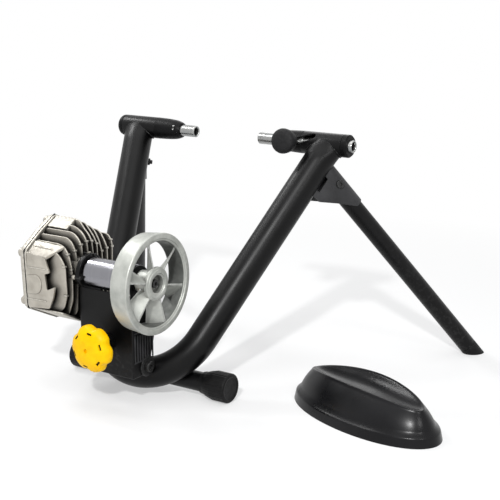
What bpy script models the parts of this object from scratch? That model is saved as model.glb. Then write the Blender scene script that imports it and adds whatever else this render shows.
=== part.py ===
"""Folding bicycle trainer with a fluid resistance unit, as separate pieces on their joint axes.

Units are metres. +X runs along the wheel's axle to the flywheel's side, +Y points forward along
the bicycle and +Z up. Places are written from the floor under the middle of the axle, and the
finished model is moved so that its origin is the middle of the floor space that it covers.
"""

import math

import bmesh
import bpy
from mathutils import Matrix, Vector

# Middle of the covered floor space, from the point under the middle of the axle
FLOOR_MIDDLE = (0.053, -0.084, 0.0)

# Clearances
SEAT_GAP = 0.0003
RUNNING_GAP = 0.0001
BEARING_RECESS = 0.0005
BOLT_END_GAP = 0.001
HOLE_PAST_SCREW = 0.002

# How far joined pieces reach into each other, and how far a cutter runs past what it cuts
UNION_BITE = 0.002
CUT_OVERRUN = 0.010

# Sides of round pieces
SIDES = 24
SMALL_SIDES = 12

# Main tube: two arms that lean back from the axle and meet in one round bend
AXLE_HEIGHT = 0.389
ARM_HALF_SPACING = 0.2005
ARM_LEAN = math.radians(37.54)
TUBE_RADIUS = 0.0254
TUBE_WALL = 0.002
BEND_RADIUS = 0.1038
BEND_HEIGHT = 0.0334
ARM_END_TRIM = 0.003
PINCH_LENGTH = 0.040
BEND_STEPS = 14

# Derived: how far down the leaning plane the bend lies, and how the arms spread to meet it
BEND_BOTTOM_DOWN = (AXLE_HEIGHT - BEND_HEIGHT) / math.cos(ARM_LEAN)
BEND_CENTRE_DOWN = BEND_BOTTOM_DOWN - BEND_RADIUS
BEND_Y = -BEND_BOTTOM_DOWN * math.sin(ARM_LEAN)
ARM_SPLAY = math.acos(BEND_RADIUS / math.hypot(ARM_HALF_SPACING, BEND_CENTRE_DOWN)) - math.atan2(
    BEND_CENTRE_DOWN, ARM_HALF_SPACING
)

# Head tubes on top of the arms
HEAD_RADIUS = 0.01905
HEAD_WALL = 0.003
HEAD_INNER_INSET = 0.0465
HEAD_OUTER_REACH = 0.0302
CAP_REACH = 0.0285
CAP_LENGTH = 0.0125
COLLAR_LENGTH = 0.0105
PLUG_LENGTH = 0.012
BUSHING_LENGTH = 0.030
NOSE_LENGTH = 0.0515
NOSE_TIP_RADIUS = 0.0128
NOSE_SHOULDER_RADIUS = 0.0181
HEAD_INNER_END = ARM_HALF_SPACING - HEAD_INNER_INSET
HEAD_OUTER_END = ARM_HALF_SPACING + HEAD_OUTER_REACH
LEFT_HEAD_END = ARM_HALF_SPACING + CAP_REACH

# Axle cones: a fixed pin on the left, a sliding rod on the right
PIN_RADIUS = 0.0102
PIN_BORE = 0.0072
LEFT_PIN_REACH = 0.0825
PIN_SEAT_LENGTH = 0.045
RIGHT_PIN_REACH = 0.0895
ROD_OVERHANG = 0.0168
SET_SCREW_RADIUS = 0.0019
SET_SCREW_LENGTH = 0.0048
SET_SCREW_TOP = 0.0172
SET_SCREW_SOCKET_DEPTH = 0.0015
SET_SCREW_HOLE_DEPTH = 0.0068
SET_SCREW_FROM_TIP = 0.010
SET_SCREW_ANGLES = (math.radians(11), math.radians(30))
LEFT_PIN_TIP = HEAD_INNER_END - LEFT_PIN_REACH
RIGHT_PIN_TIP = HEAD_INNER_END - RIGHT_PIN_REACH
ROD_END = HEAD_OUTER_END + ROD_OVERHANG

# Clamp lever, which runs in a helical slot
LEVER_INSET = 0.008
LEVER_ANGLE = math.radians(8.4)
CLAMP_TRAVEL = 0.030
SLOT_TURN = math.radians(40)
SLOT_GAP = 0.001
SLOT_STEPS = 8
LEVER_COLLAR_RADIUS = 0.0135
LEVER_COLLAR_LENGTH = 0.018
LEVER_CAVITY_RADIUS = 0.0143
LEVER_CAVITY_GAP = 0.002
SHANK_RADIUS = 0.0045
SHANK_START = 0.0108
LEVER_X = HEAD_INNER_END - LEVER_INSET
# The grip: its radius and its distance out from the axle, from the neck to the face
GRIP_NECK_START = 0.0235
GRIP_PROFILE = (
    (0.0068, 0.0235),
    (0.0074, 0.0300),
    (0.0112, 0.0345),
    (0.0160, 0.0400),
    (0.0193, 0.0480),
    (0.0208, 0.0565),
    (0.0205, 0.0605),
    (0.0188, 0.0638),
    (0.0130, 0.0662),
)
GRIP_FACE = 0.0672
GRIP_SOCKET_DEPTH = 0.032
GRIP_SIDES = 20

# Rear crossbar and its end caps
CROSSBAR_BITE = 0.0047
CROSSBAR_RADIUS = 0.0159
CROSSBAR_WALL = 0.0026
FOOT_RADIUS = 0.024
FOOT_NECK_RADIUS = 0.0178
FOOT_START = 0.109
FOOT_END = 0.1616
FOOT_TAPER_LENGTH = 0.024
FOOT_END_THICKNESS = 0.006
FOOT_EDGE = 0.0022
FOOT_RIM_WIDTH = 0.0043
FOOT_RIM_DEPTH = 0.0012
FOOT_FACETS = 16
# Derived: the bar lies in front of the leaning plane of the arms and bites into the bend
CROSSBAR_Y = (
    TUBE_RADIUS + CROSSBAR_RADIUS - CROSSBAR_BITE - (AXLE_HEIGHT - FOOT_RADIUS) * math.sin(ARM_LEAN)
) / math.cos(ARM_LEAN)

# Folding front legs, each in a plane that holds its arm
LEG_RADIUS = 0.0154
LEG_WALL = 0.0018
LEG_TURN = math.radians(60.68)
LEG_ANGLE = math.radians(79.18)
HINGE_ALONG_ARM = 0.0461
HINGE_FROM_ARM = 0.0471
LEG_FOOT_HEIGHT = 0.006
LEG_PLUG_LENGTH = 0.018
BRACKET_WALL = 0.0022
# The bracket's side view: distance along the arm from the axle, and away from the arm's middle
BRACKET_OUTLINE = (
    (0.0165, 0.1055),
    (0.0558, 0.0980),
    (0.0736, 0.0643),
    (0.0919, 0.0336),
    (0.0900, 0.0240),
    (0.0890, 0.0100),
    (0.0790, 0.0100),
    (0.0785, 0.0243),
    (0.0775, 0.0250),
    (0.0525, 0.0250),
    (0.0515, 0.0243),
    (0.0510, 0.0100),
    (0.0, 0.0100),
)
HINGE_BOLT_RADIUS = 0.004
HINGE_HEAD_RADIUS = 0.0068
HINGE_HEAD_HEIGHT = 0.0042
HINGE_NUT_HEIGHT = 0.006

# Resistance unit: pivot, tension screw and yoke
PIVOT_BEHIND_BEND = 0.03075
PIVOT_ABOVE_BEND = 0.0276
TENSION_ABOVE_PIVOT = 0.041
PIVOT_Y = BEND_Y - PIVOT_BEHIND_BEND
PIVOT_Z = BEND_HEIGHT + PIVOT_ABOVE_BEND
TENSION_Z = PIVOT_Z + TENSION_ABOVE_PIVOT
LUG_SPACING = 0.014
LUG_THICKNESS = 0.004
# A lug's side view: distance forward of the pivot, and above it
LUG_OUTLINE = (
    (-0.014, 0.053),
    (0.014, 0.053),
    (0.017, 0.013),
    (0.042, 0.005),
    (0.042, -0.021),
    (0.014, -0.039),
    (-0.005, -0.021),
    (-0.015, -0.003),
)
SLEEVE_RADIUS = 0.008
PIVOT_BOLT_RADIUS = 0.005
PIVOT_WASHER_RADIUS = 0.0165
PIVOT_WASHER_THICKNESS = 0.0026
PIVOT_HEAD_RADIUS = 0.0085
PIVOT_HEAD_HEIGHT = 0.006
TRUNNION_RADIUS = 0.007
STUD_RADIUS = 0.004
STUD_PAST_TRUNNION = 0.017
STUD_GAP = 0.0006
YOKE_LEFT = -0.060
YOKE_RIGHT = 0.0475
YOKE_WALL = 0.003
YOKE_BEHIND_PIVOT = 0.033
YOKE_WEB_HEIGHT = 0.119
YOKE_FOOT_RADIUS = 0.014
YOKE_HEAD_RADIUS = 0.0245
# The yoke's front edge between foot and head: forward of the pivot, and above it
YOKE_FRONT = ((0.0125, 0.014), (0.0215, 0.043))
YOKE_BACK_Y = PIVOT_Y - YOKE_BEHIND_PIVOT
YOKE_WEB_TOP = PIVOT_Z + YOKE_WEB_HEIGHT

# Tension knob
KNOB_RADIUS = 0.0378
KNOB_LOBES = 6
KNOB_SIDES_PER_LOBE = 6
KNOB_LOBE_DEPTH = 0.0040
KNOB_LOBE_SHARPNESS = 3
KNOB_PHASE = math.radians(20)
KNOB_HUB_LENGTH = 0.034
KNOB_DEPTH = 0.023
KNOB_HUB_RADIUS = 0.013
KNOB_TOP_WALL = 0.005
# The knob's face: radius and depth as shares, and how deep the lobes cut there
KNOB_SECTIONS = (
    (0.94, 0.0, 1.0),
    (1.0, 0.12, 1.0),
    (1.0, 0.34, 1.0),
    (0.955, 0.52, 0.85),
    (0.84, 0.72, 0.45),
    (0.64, 0.88, 0.12),
    (0.36, 0.97, 0.0),
)

# Rotor: roller, shaft, flywheel and impeller on one axis
ROLLER_BEHIND_PIVOT = 0.0124
ROLLER_ABOVE_PIVOT = 0.1429
ROLLER_Y = PIVOT_Y - ROLLER_BEHIND_PIVOT
ROLLER_Z = PIVOT_Z + ROLLER_ABOVE_PIVOT
ROLLER_RADIUS = 0.0244
ROLLER_LEFT = -0.048
ROLLER_RIGHT = 0.040
ROLLER_CHAMFER = 0.0012
SHAFT_RADIUS = 0.006
SHAFT_LEFT = -0.1425
SHAFT_RIGHT = 0.066
SHAFT_ROOM_RADIUS = 0.008
BEARING_RADIUS = 0.014
BEARING_WIDTH = 0.007
BEARING_BOSS_RADIUS = 0.0190
LEFT_BOSS_DEPTH = 0.009
RIGHT_BOSS_LEFT = 0.0415
RIGHT_BOSS_RIGHT = 0.0490
RIGHT_BOSS_SIDES = 28
FLYWHEEL_FRONT = 0.0849
FLYWHEEL_BACK = 0.0510
FLYWHEEL_RADIUS = 0.0799
FLYWHEEL_BACK_RADIUS = 0.0765
RIM_EDGE = 0.0012
RIM_BORE = 0.0675
RIM_NECK_BORE = 0.0645
RIM_NECK_X = 0.061
HUB_RADIUS = 0.027
HUB_BODY_RADIUS = 0.020
HUB_DISC_THICKNESS = 0.009
HUB_RECESS_RADIUS = 0.0143
HUB_RECESS_DEPTH = 0.012
HUB_FLOOR = 0.005
HUB_EDGE = 0.001
HUB_BODY_TAPER = 0.002
BLADE_COUNT = 6
BLADE_PHASE = math.radians(46)
BLADE_FRONT = 0.081
BLADE_BACK = 0.062
BLADE_TWIST = math.radians(20)
BLADE_THICKNESS = 0.0028
BLADE_STEPS = 4
FLYWHEEL_BOLT_RADIUS = 0.003
FLYWHEEL_BOLT_HEAD_RADIUS = 0.0068
FLYWHEEL_BOLT_HEAD_HEIGHT = 0.006
FLYWHEEL_BOLT_DEPTH = 0.014
IMPELLER_RADIUS = 0.037
IMPELLER_HUB_RADIUS = 0.013
IMPELLER_LEFT = -0.141
IMPELLER_RIGHT = -0.121
IMPELLER_VANES = 8
IMPELLER_VANE_WIDTH = 0.0035

# Fluid housing and its cover
HOUSING_LEFT = -0.148
HOUSING_CORE_RIGHT = -0.108
HOUSING_FLANGE_WIDTH = 0.004
HOUSING_LIP = 0.0018
HOUSING_BOSS_RADIUS = 0.0315
CAVITY_RADIUS = 0.040
CAVITY_DEPTH = 0.033
SEAL_RADIUS = 0.011
SEAL_WIDTH = 0.006
GASKET_THICKNESS = 0.0008
COVER_THICKNESS = 0.011
COVER_BEVEL = 0.004
COVER_BOSS_RADIUS = 0.0075
COVER_BOSS_HEIGHT = 0.004
COVER_SCREW_INSET = 0.011
COVER_SCREW_RADIUS = 0.002
COVER_SCREW_HEAD_RADIUS = 0.0042
COVER_SCREW_HEAD_HEIGHT = 0.0032
COVER_SCREW_DEPTH = 0.012
HOUSING_BOLT_CIRCLE = 0.0275
HOUSING_BOLT_RADIUS = 0.002
HOUSING_BOLT_HEAD_RADIUS = 0.0030
HOUSING_BOLT_HEAD_HEIGHT = 0.0024
HOUSING_BOLT_DEPTH = 0.014
HOUSING_BOLT_ANGLES = (math.radians(190), math.radians(310), math.radians(70))
# Corners of the housing's outline, forward and up from the rotor's axis
HOUSING_OUTLINE = (
    (0.0244, 0.0771),
    (-0.0136, 0.0551),
    (-0.0486, 0.0311),
    (-0.0446, -0.0639),
    (0.0194, -0.0959),
    (0.0600, -0.0900),
    (0.0790, -0.0600),
    (0.0790, 0.0430),
    (0.0590, 0.0560),
)
COVER_SCREW_CORNERS = (0, 2, 3, 4, 6, 7)
FIN_THICKNESS = 0.003
FIN_INSET = 0.001
# Each fin's place forward of the rotor's axis, and how far it stands out towards the flywheel
FINS = (
    (-0.0436, -0.088),
    (-0.0356, -0.0765),
    (-0.0256, -0.070),
    (-0.0116, -0.069),
    (0.0014, -0.069),
    (0.0154, -0.069),
    (0.0304, -0.069),
    (0.0454, -0.069),
    (0.0584, -0.069),
    (0.0744, -0.069),
)
# A fin's edge from its top corner to its straight front: shares of its reach, and drop
FIN_CORNER = (
    (0.58, 0.001),
    (0.80, 0.006),
    (0.94, 0.016),
    (1.0, 0.034),
)

# Front wheel block, which stands by itself beside the trainer
BLOCK_X = 0.3661
BLOCK_Y = -0.1653
BLOCK_TURN = math.radians(-18.9)
BLOCK_HALF_LENGTH = 0.1482
BLOCK_HALF_WIDTH = 0.0700
BLOCK_ROUNDNESS = 2.03
BLOCK_FLANGE_HEIGHT = 0.0142
BLOCK_FLANGE_DRAFT = 0.0033
BLOCK_SHOULDER_HEIGHT = 0.0212
BLOCK_SHOULDER_INSET = 0.0105
BLOCK_RIM_HALF_LENGTH = 0.1212
BLOCK_RIM_HALF_WIDTH = 0.0368
BLOCK_RIM_ROUNDNESS = 1.83
BLOCK_RIM_HEIGHT = 0.0609
BLOCK_RIM_DROP = 0.0132
BLOCK_RIM_EDGE = 0.0020
BLOCK_DISH_DEPTH = 0.018
BLOCK_DISH_SHARE = 0.55
BLOCK_WALL = 0.004
BLOCK_SEGMENTS = 32

X_AXIS = Vector((1, 0, 0))
BACKWARD = Vector((0, -1, 0))
AXLE = Vector((0, 0, AXLE_HEIGHT))
ROLLER_AXIS = Vector((0, ROLLER_Y, ROLLER_Z))
PIVOT_AXIS = Vector((0, PIVOT_Y, PIVOT_Z))
TRUNNION_AXIS = Vector((0, PIVOT_Y, TENSION_Z))
LEVER_DIRECTION = Vector((0, -math.cos(LEVER_ANGLE), math.sin(LEVER_ANGLE)))


def clear_scene():
    for obj in list(bpy.data.objects):
        bpy.data.objects.remove(obj, do_unlink=True)


def material(name, colour, roughness, metallic):
    made = bpy.data.materials.new(name)
    made.use_nodes = True
    shader = made.node_tree.nodes["Principled BSDF"]
    shader.inputs["Base Color"].default_value = (*colour, 1)
    shader.inputs["Roughness"].default_value = roughness
    shader.inputs["Metallic"].default_value = metallic
    return made


def joint_empty(name, place, parent=None):
    """An empty on a joint's axis, which carries every piece that moves with the joint."""
    empty = bpy.data.objects.new(name, None)
    bpy.context.scene.collection.objects.link(empty)
    empty.matrix_world = Matrix.Translation(place)
    if parent:
        hang(empty, parent)
    return empty


def hang(obj, parent):
    placed = obj.matrix_world.copy()
    bpy.context.view_layer.update()
    obj.parent = parent
    obj.matrix_parent_inverse = parent.matrix_world.inverted()
    obj.matrix_world = placed


def frame_of(origin, forward, reference=None):
    """A matrix whose local Z runs forward, and whose local X is square to the reference."""
    z = Vector(forward).normalized()
    up = Vector(reference) if reference else Vector((0, 0, 1))
    if abs(z.dot(up)) > 0.99:
        up = Vector((1, 0, 0))
    x = up.cross(z).normalized()
    y = z.cross(x)
    turned = Matrix((x, y, z)).transposed().to_4x4()
    return Matrix.Translation(origin) @ turned


def along_x(origin, x):
    """A frame on an axis along X: local Z is +X, local X is +Y and local Y is +Z."""
    return frame_of(Vector(origin) + Vector((x, 0, 0)), X_AXIS)


def new_object(name, mesh_data, slot, matrix, parent=None, smooth=None):
    """Makes an object from a bmesh, with its faces turned outward."""
    bmesh.ops.recalc_face_normals(mesh_data, faces=mesh_data.faces)
    mesh = bpy.data.meshes.new(name)
    mesh_data.to_mesh(mesh)
    mesh_data.free()
    if smooth is not None:
        mesh.shade_smooth()
        mesh.set_sharp_from_angle(angle=smooth)
    if slot:
        mesh.materials.append(slot)
    obj = bpy.data.objects.new(name, mesh)
    bpy.context.scene.collection.objects.link(obj)
    obj.matrix_world = matrix
    if parent:
        hang(obj, parent)
    return obj


def cutter(obj):
    obj.hide_render = True
    obj.display_type = "WIRE"
    return obj


def boolean(target, operation, *tools):
    for tool in tools:
        step = target.modifiers.new(tool.name, "BOOLEAN")
        step.operation = operation
        step.object = cutter(tool)
        step.solver = "EXACT"


def bridge_rings(data, rings, closed):
    """Joins neighbouring rings of vertices; a ring of one vertex is a point on the axis."""
    count = len(rings)
    for i in range(count if closed else count - 1):
        a, b = rings[i], rings[(i + 1) % count]
        if len(a) == 1 and len(b) == 1:
            continue
        size = max(len(a), len(b))
        for k in range(size):
            after = (k + 1) % size
            if len(a) == 1:
                data.faces.new((a[0], b[k], b[after]))
            elif len(b) == 1:
                data.faces.new((a[k], a[after], b[0]))
            else:
                data.faces.new((a[k], a[after], b[after], b[k]))


def turned(name, profile, slot, matrix, parent=None, sides=SIDES, smooth=math.radians(35)):
    """Turns a closed profile of (radius, along) pairs round local Z."""
    data = bmesh.new()
    rings = []
    for radius, along in profile:
        if radius == 0:
            rings.append([data.verts.new((0, 0, along))])
            continue
        angles = (2 * math.pi * k / sides for k in range(sides))
        rings.append(
            [data.verts.new((radius * math.cos(t), radius * math.sin(t), along)) for t in angles]
        )
    bridge_rings(data, rings, closed=True)
    return new_object(name, data, slot, matrix, parent, smooth)


def rod(name, radius, start, end, slot, matrix, parent=None, sides=SIDES):
    profile = ((0, start), (radius, start), (radius, end), (0, end))
    return turned(name, profile, slot, matrix, parent, sides)


def pipe(name, radius, bore, start, end, slot, matrix, parent=None, sides=SIDES):
    profile = ((radius, start), (radius, end), (bore, end), (bore, start))
    return turned(name, profile, slot, matrix, parent, sides)


def screw(name, shank, shank_end, head, head_height, slot, matrix, parent=None, sides=SIDES):
    """A screw whose head sits on local z = 0 and whose shank runs down to shank_end."""
    socket = head * 0.5
    profile = (
        (0, shank_end),
        (shank, shank_end),
        (shank, 0),
        (head, 0),
        (head, head_height),
        (socket, head_height),
        (socket, head_height * 0.45),
        (0, head_height * 0.45),
    )
    return turned(name, profile, slot, matrix, parent, sides)


def prism(name, outline, start, end, slot, matrix, parent=None):
    """Extrudes an outline of (x, y) points from local z = start to end."""
    data = bmesh.new()
    low = [data.verts.new((x, y, start)) for x, y in outline]
    high = [data.verts.new((x, y, end)) for x, y in outline]
    data.faces.new(low)
    data.faces.new(high)
    bridge_rings(data, [low, high], closed=False)
    return new_object(name, data, slot, matrix, parent)


def arc_points(centre, radius, start, end, steps):
    angles = (start + (end - start) * k / steps for k in range(steps + 1))
    return [(centre[0] + radius * math.cos(t), centre[1] + radius * math.sin(t)) for t in angles]


def arm_plane(across, down):
    """A point in the leaning plane that holds both arms, down from the axle."""
    lean = Vector((0, -math.sin(ARM_LEAN), -math.cos(ARM_LEAN)))
    return AXLE + Vector((across, 0, 0)) + lean * down


def plane_normal():
    return Vector((0, math.cos(ARM_LEAN), -math.sin(ARM_LEAN)))


def main_tube_sections():
    """Centre, in-plane normal and distance from the open end for each section of the tube."""
    centre_down = BEND_CENTRE_DOWN
    tangent_down = centre_down + BEND_RADIUS * math.sin(ARM_SPLAY)
    half = []
    straight = (ARM_END_TRIM, PINCH_LENGTH * 0.5, PINCH_LENGTH)
    for down in straight:
        across = ARM_HALF_SPACING - down * math.tan(ARM_SPLAY)
        half.append((across, down, ARM_SPLAY, down))
    for k in range(BEND_STEPS // 2 + 1):
        turn = ARM_SPLAY + (math.pi / 2 - ARM_SPLAY) * k / (BEND_STEPS // 2)
        across = BEND_RADIUS * math.cos(turn)
        down = centre_down + BEND_RADIUS * math.sin(turn)
        half.append((across, down, turn, tangent_down))
    mirrored = [(-across, down, math.pi - turn, end) for across, down, turn, end in half[-2::-1]]
    return half + mirrored


def pinch_factor(from_end):
    """How much the arm is squeezed front to back, so that its end wraps the head tube."""
    pinched = (HEAD_RADIUS + SEAT_GAP + TUBE_WALL) / TUBE_RADIUS
    share = min(1, max(0, (from_end - ARM_END_TRIM) / (PINCH_LENGTH - ARM_END_TRIM)))
    return pinched + (1 - pinched) * share


def tube_rings(data, radius):
    rings = []
    depth = plane_normal()
    for across, down, turn, from_end in main_tube_sections():
        centre = arm_plane(across, down)
        outward = arm_plane(math.cos(turn), math.sin(turn)) - arm_plane(0, 0)
        squeeze = (TUBE_RADIUS * pinch_factor(from_end) - (TUBE_RADIUS - radius)) / radius
        ring = []
        for k in range(SIDES):
            t = 2 * math.pi * k / SIDES
            ring.append(
                data.verts.new(
                    centre + outward * radius * math.cos(t) + depth * radius * squeeze * math.sin(t)
                )
            )
        rings.append(ring)
    return rings


def swept_main_tube(name, radius, slot, bore=None):
    """The bent tube as one swept solid; with a bore it is hollow and open at both ends."""
    data = bmesh.new()
    outer = tube_rings(data, radius)
    if bore is None:
        bridge_rings(data, outer, closed=False)
        data.faces.new(outer[0])
        data.faces.new(outer[-1])
    else:
        inner = tube_rings(data, bore)
        bridge_rings(data, outer + inner[::-1], closed=True)
    return new_object(name, data, slot, Matrix.Identity(4), None, math.radians(35))


def build_main_tube(slots):
    tube = swept_main_tube("main_tube", TUBE_RADIUS, slots["paint"], TUBE_RADIUS - TUBE_WALL)
    reach = HEAD_OUTER_END + CAP_LENGTH + COLLAR_LENGTH
    cope = rod("head_cope", HEAD_RADIUS + SEAT_GAP, -reach, reach, None, along_x(AXLE, 0))
    boolean(tube, "DIFFERENCE", cope)
    return tube


def nose_profile():
    """Outer profile of a nose, as (radius, distance from the wheel side of the head tube)."""
    return (
        (HEAD_RADIUS, 0),
        (HEAD_RADIUS - 0.0003, NOSE_LENGTH * 0.25),
        (NOSE_SHOULDER_RADIUS, NOSE_LENGTH * 0.53),
        (NOSE_SHOULDER_RADIUS - 0.0011, NOSE_LENGTH * 0.75),
        (NOSE_SHOULDER_RADIUS - 0.0027, NOSE_LENGTH * 0.89),
        (NOSE_TIP_RADIUS + 0.0008, NOSE_LENGTH * 0.97),
        (NOSE_TIP_RADIUS, NOSE_LENGTH),
    )


def head_frame(side):
    """A frame at the middle of the axle whose local Z points to one end of it."""
    return frame_of(AXLE, X_AXIS * side)


def build_left_head(slots):
    frame = head_frame(-1)
    bore = HEAD_RADIUS - HEAD_WALL
    plug = bore - SEAT_GAP
    start = HEAD_INNER_END + SEAT_GAP
    pipe("head_tube_left", HEAD_RADIUS, bore, start, LEFT_HEAD_END, slots["paint"], frame)
    cap_face = LEFT_HEAD_END + SEAT_GAP
    cap_profile = (
        (0, cap_face - PLUG_LENGTH),
        (plug, cap_face - PLUG_LENGTH),
        (plug, cap_face),
        (HEAD_RADIUS, cap_face),
        (HEAD_RADIUS, cap_face + CAP_LENGTH * 0.30),
        (HEAD_RADIUS * 0.96, cap_face + CAP_LENGTH * 0.58),
        (HEAD_RADIUS * 0.83, cap_face + CAP_LENGTH * 0.82),
        (HEAD_RADIUS * 0.55, cap_face + CAP_LENGTH * 0.96),
        (0, cap_face + CAP_LENGTH),
    )
    turned("head_cap_left", cap_profile, slots["plastic"], frame)

    pin_start = LEFT_PIN_TIP
    nose_tip = HEAD_INNER_END - NOSE_LENGTH
    pin_end = nose_tip + PIN_SEAT_LENGTH
    seat = PIN_RADIUS + SEAT_GAP
    profile = [(radius, HEAD_INNER_END - back) for radius, back in nose_profile()]
    profile += [
        (seat, nose_tip),
        (seat, pin_end + SEAT_GAP),
        (PIN_BORE, pin_end + SEAT_GAP),
        (PIN_BORE, HEAD_INNER_END + PLUG_LENGTH),
        (plug, HEAD_INNER_END + PLUG_LENGTH),
        (plug, HEAD_INNER_END),
    ]
    nose = turned("nose_left", profile, slots["plastic"], frame)
    pipe("cone_left", PIN_RADIUS, PIN_BORE, pin_start, pin_end, slots["chrome"], frame)
    for index, angle in enumerate(SET_SCREW_ANGLES, 1):
        out = Vector((0, -math.cos(angle), math.sin(angle)))
        place = frame_of(AXLE - X_AXIS * (nose_tip + SET_SCREW_FROM_TIP), out)
        inner = SET_SCREW_TOP - SET_SCREW_LENGTH
        hole = rod(f"set_screw_hole_{index}", SET_SCREW_RADIUS + SEAT_GAP,
                   SET_SCREW_TOP - SET_SCREW_HOLE_DEPTH, 2 * HEAD_RADIUS, None, place,
                   sides=SMALL_SIDES)
        boolean(nose, "DIFFERENCE", hole)
        socket = SET_SCREW_RADIUS * 0.5
        socket_floor = SET_SCREW_TOP - SET_SCREW_SOCKET_DEPTH
        screw_profile = (
            (0, inner),
            (SET_SCREW_RADIUS, inner),
            (SET_SCREW_RADIUS, SET_SCREW_TOP),
            (socket, SET_SCREW_TOP),
            (socket, socket_floor),
            (0, socket_floor),
        )
        turned(f"set_screw_{index}", screw_profile, slots["steel"], place, sides=SMALL_SIDES)


def slot_cutter():
    """The helical slot that guides the lever's shank, as a swept radial ribbon."""
    half_width = SHANK_RADIUS + SLOT_GAP
    rate = SLOT_TURN / CLAMP_TRAVEL
    slope = math.atan(HEAD_RADIUS * rate)
    run = Vector((math.cos(slope), math.sin(slope)))
    across = Vector((-run.y, run.x))
    length = CLAMP_TRAVEL / run.x
    inner, outer = PIN_RADIUS, HEAD_RADIUS * 1.3
    data = bmesh.new()
    rings = []
    for k in range(SLOT_STEPS + 5):
        share = min(1, max(0, (k - 2) / SLOT_STEPS))
        over = {0: -0.96, 1: -0.6, SLOT_STEPS + 3: 0.6, SLOT_STEPS + 4: 0.96}.get(k, 0)
        middle = run * (length * share + half_width * over)
        reach = across * half_width * math.sqrt(1 - over * over)
        angle = LEVER_ANGLE + middle.y / HEAD_RADIUS
        out = Vector((0, -math.cos(angle), math.sin(angle)))
        up = Vector((0, math.sin(angle), math.cos(angle)))
        ring = []
        for sign, radius in ((-1, inner), (1, inner), (1, outer), (-1, outer)):
            place = Vector((LEVER_X + middle.x + reach.x * sign, 0, AXLE_HEIGHT))
            ring.append(data.verts.new(place + out * radius + up * (reach.y * sign)))
        rings.append(ring)
    bridge_rings(data, rings, closed=False)
    data.faces.new(rings[0])
    data.faces.new(rings[-1])
    return new_object("lever_slot", data, None, Matrix.Identity(4))


def build_right_head(slots):
    frame = head_frame(1)
    bore = HEAD_RADIUS - HEAD_WALL
    plug = bore - SEAT_GAP
    guide = PIN_RADIUS + RUNNING_GAP
    slot = slot_cutter()
    start = HEAD_INNER_END + SEAT_GAP
    head = pipe("head_tube_right", HEAD_RADIUS, bore, start, HEAD_OUTER_END, slots["paint"], frame)
    boolean(head, "DIFFERENCE", slot)
    face = HEAD_OUTER_END + SEAT_GAP
    end = face + COLLAR_LENGTH
    chamfer = COLLAR_LENGTH * 0.2
    bushing_profile = (
        (guide, face - BUSHING_LENGTH),
        (plug, face - BUSHING_LENGTH),
        (plug, face),
        (HEAD_RADIUS, face),
        (HEAD_RADIUS, end - chamfer),
        (HEAD_RADIUS - chamfer, end),
        (guide, end),
    )
    turned("head_bushing_right", bushing_profile, slots["plastic"], frame)
    nose_tip = HEAD_INNER_END - NOSE_LENGTH
    cavity_start = LEVER_X - LEVER_COLLAR_LENGTH / 2 - LEVER_CAVITY_GAP
    cavity_end = HEAD_INNER_END + PLUG_LENGTH * 0.5
    profile = [(radius, HEAD_INNER_END - back) for radius, back in nose_profile()]
    profile += [
        (guide, nose_tip),
        (guide, cavity_start),
        (LEVER_CAVITY_RADIUS, cavity_start),
        (LEVER_CAVITY_RADIUS, cavity_end),
        (plug, cavity_end),
        (plug, HEAD_INNER_END),
    ]
    nose = turned("nose_right", profile, slots["plastic"], frame)
    boolean(nose, "DIFFERENCE", slot)


def build_clamp(slots, slide, swing):
    frame = head_frame(1)
    pipe("clamp_rod", PIN_RADIUS, PIN_BORE, RIGHT_PIN_TIP, ROD_END, slots["chrome"], frame, slide)
    half = LEVER_COLLAR_LENGTH / 2
    lever_place = frame_of(AXLE + X_AXIS * LEVER_X, LEVER_DIRECTION, X_AXIS)
    collar = pipe("lever_collar", LEVER_COLLAR_RADIUS, PIN_RADIUS + RUNNING_GAP, LEVER_X - half,
                  LEVER_X + half, slots["steel"], frame, swing)
    thread = rod("collar_thread", SHANK_RADIUS + SEAT_GAP, 0, HEAD_RADIUS, None, lever_place,
                 sides=SMALL_SIDES)
    boolean(collar, "DIFFERENCE", thread)
    socket_floor = GRIP_NECK_START + GRIP_SOCKET_DEPTH
    rod("lever_shank", SHANK_RADIUS, SHANK_START, socket_floor - SEAT_GAP, slots["steel"],
        lever_place, swing, sides=SMALL_SIDES)
    grip_profile = [(0, GRIP_NECK_START), *GRIP_PROFILE, (0, GRIP_FACE)]
    grip = turned("lever_ball", grip_profile, slots["grip"], lever_place, swing, sides=GRIP_SIDES)
    socket = rod("grip_socket", SHANK_RADIUS + SEAT_GAP, 0, socket_floor, None, lever_place,
                 sides=SMALL_SIDES)
    boolean(grip, "DIFFERENCE", socket)


def build_crossbar(slots):
    frame = along_x((0, CROSSBAR_Y, FOOT_RADIUS), 0)
    inside = FOOT_END - FOOT_END_THICKNESS - SEAT_GAP
    bar = pipe("foot_crossbar", CROSSBAR_RADIUS, CROSSBAR_RADIUS - CROSSBAR_WALL, -inside, inside,
               slots["paint"], frame)
    notch = swept_main_tube("crossbar_notch", TUBE_RADIUS + SEAT_GAP, None)
    boolean(bar, "DIFFERENCE", notch)
    for side, name in ((-1, "foot_cap_left"), (1, "foot_cap_right")):
        foot_cap(name, side, slots["rubber"])


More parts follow.
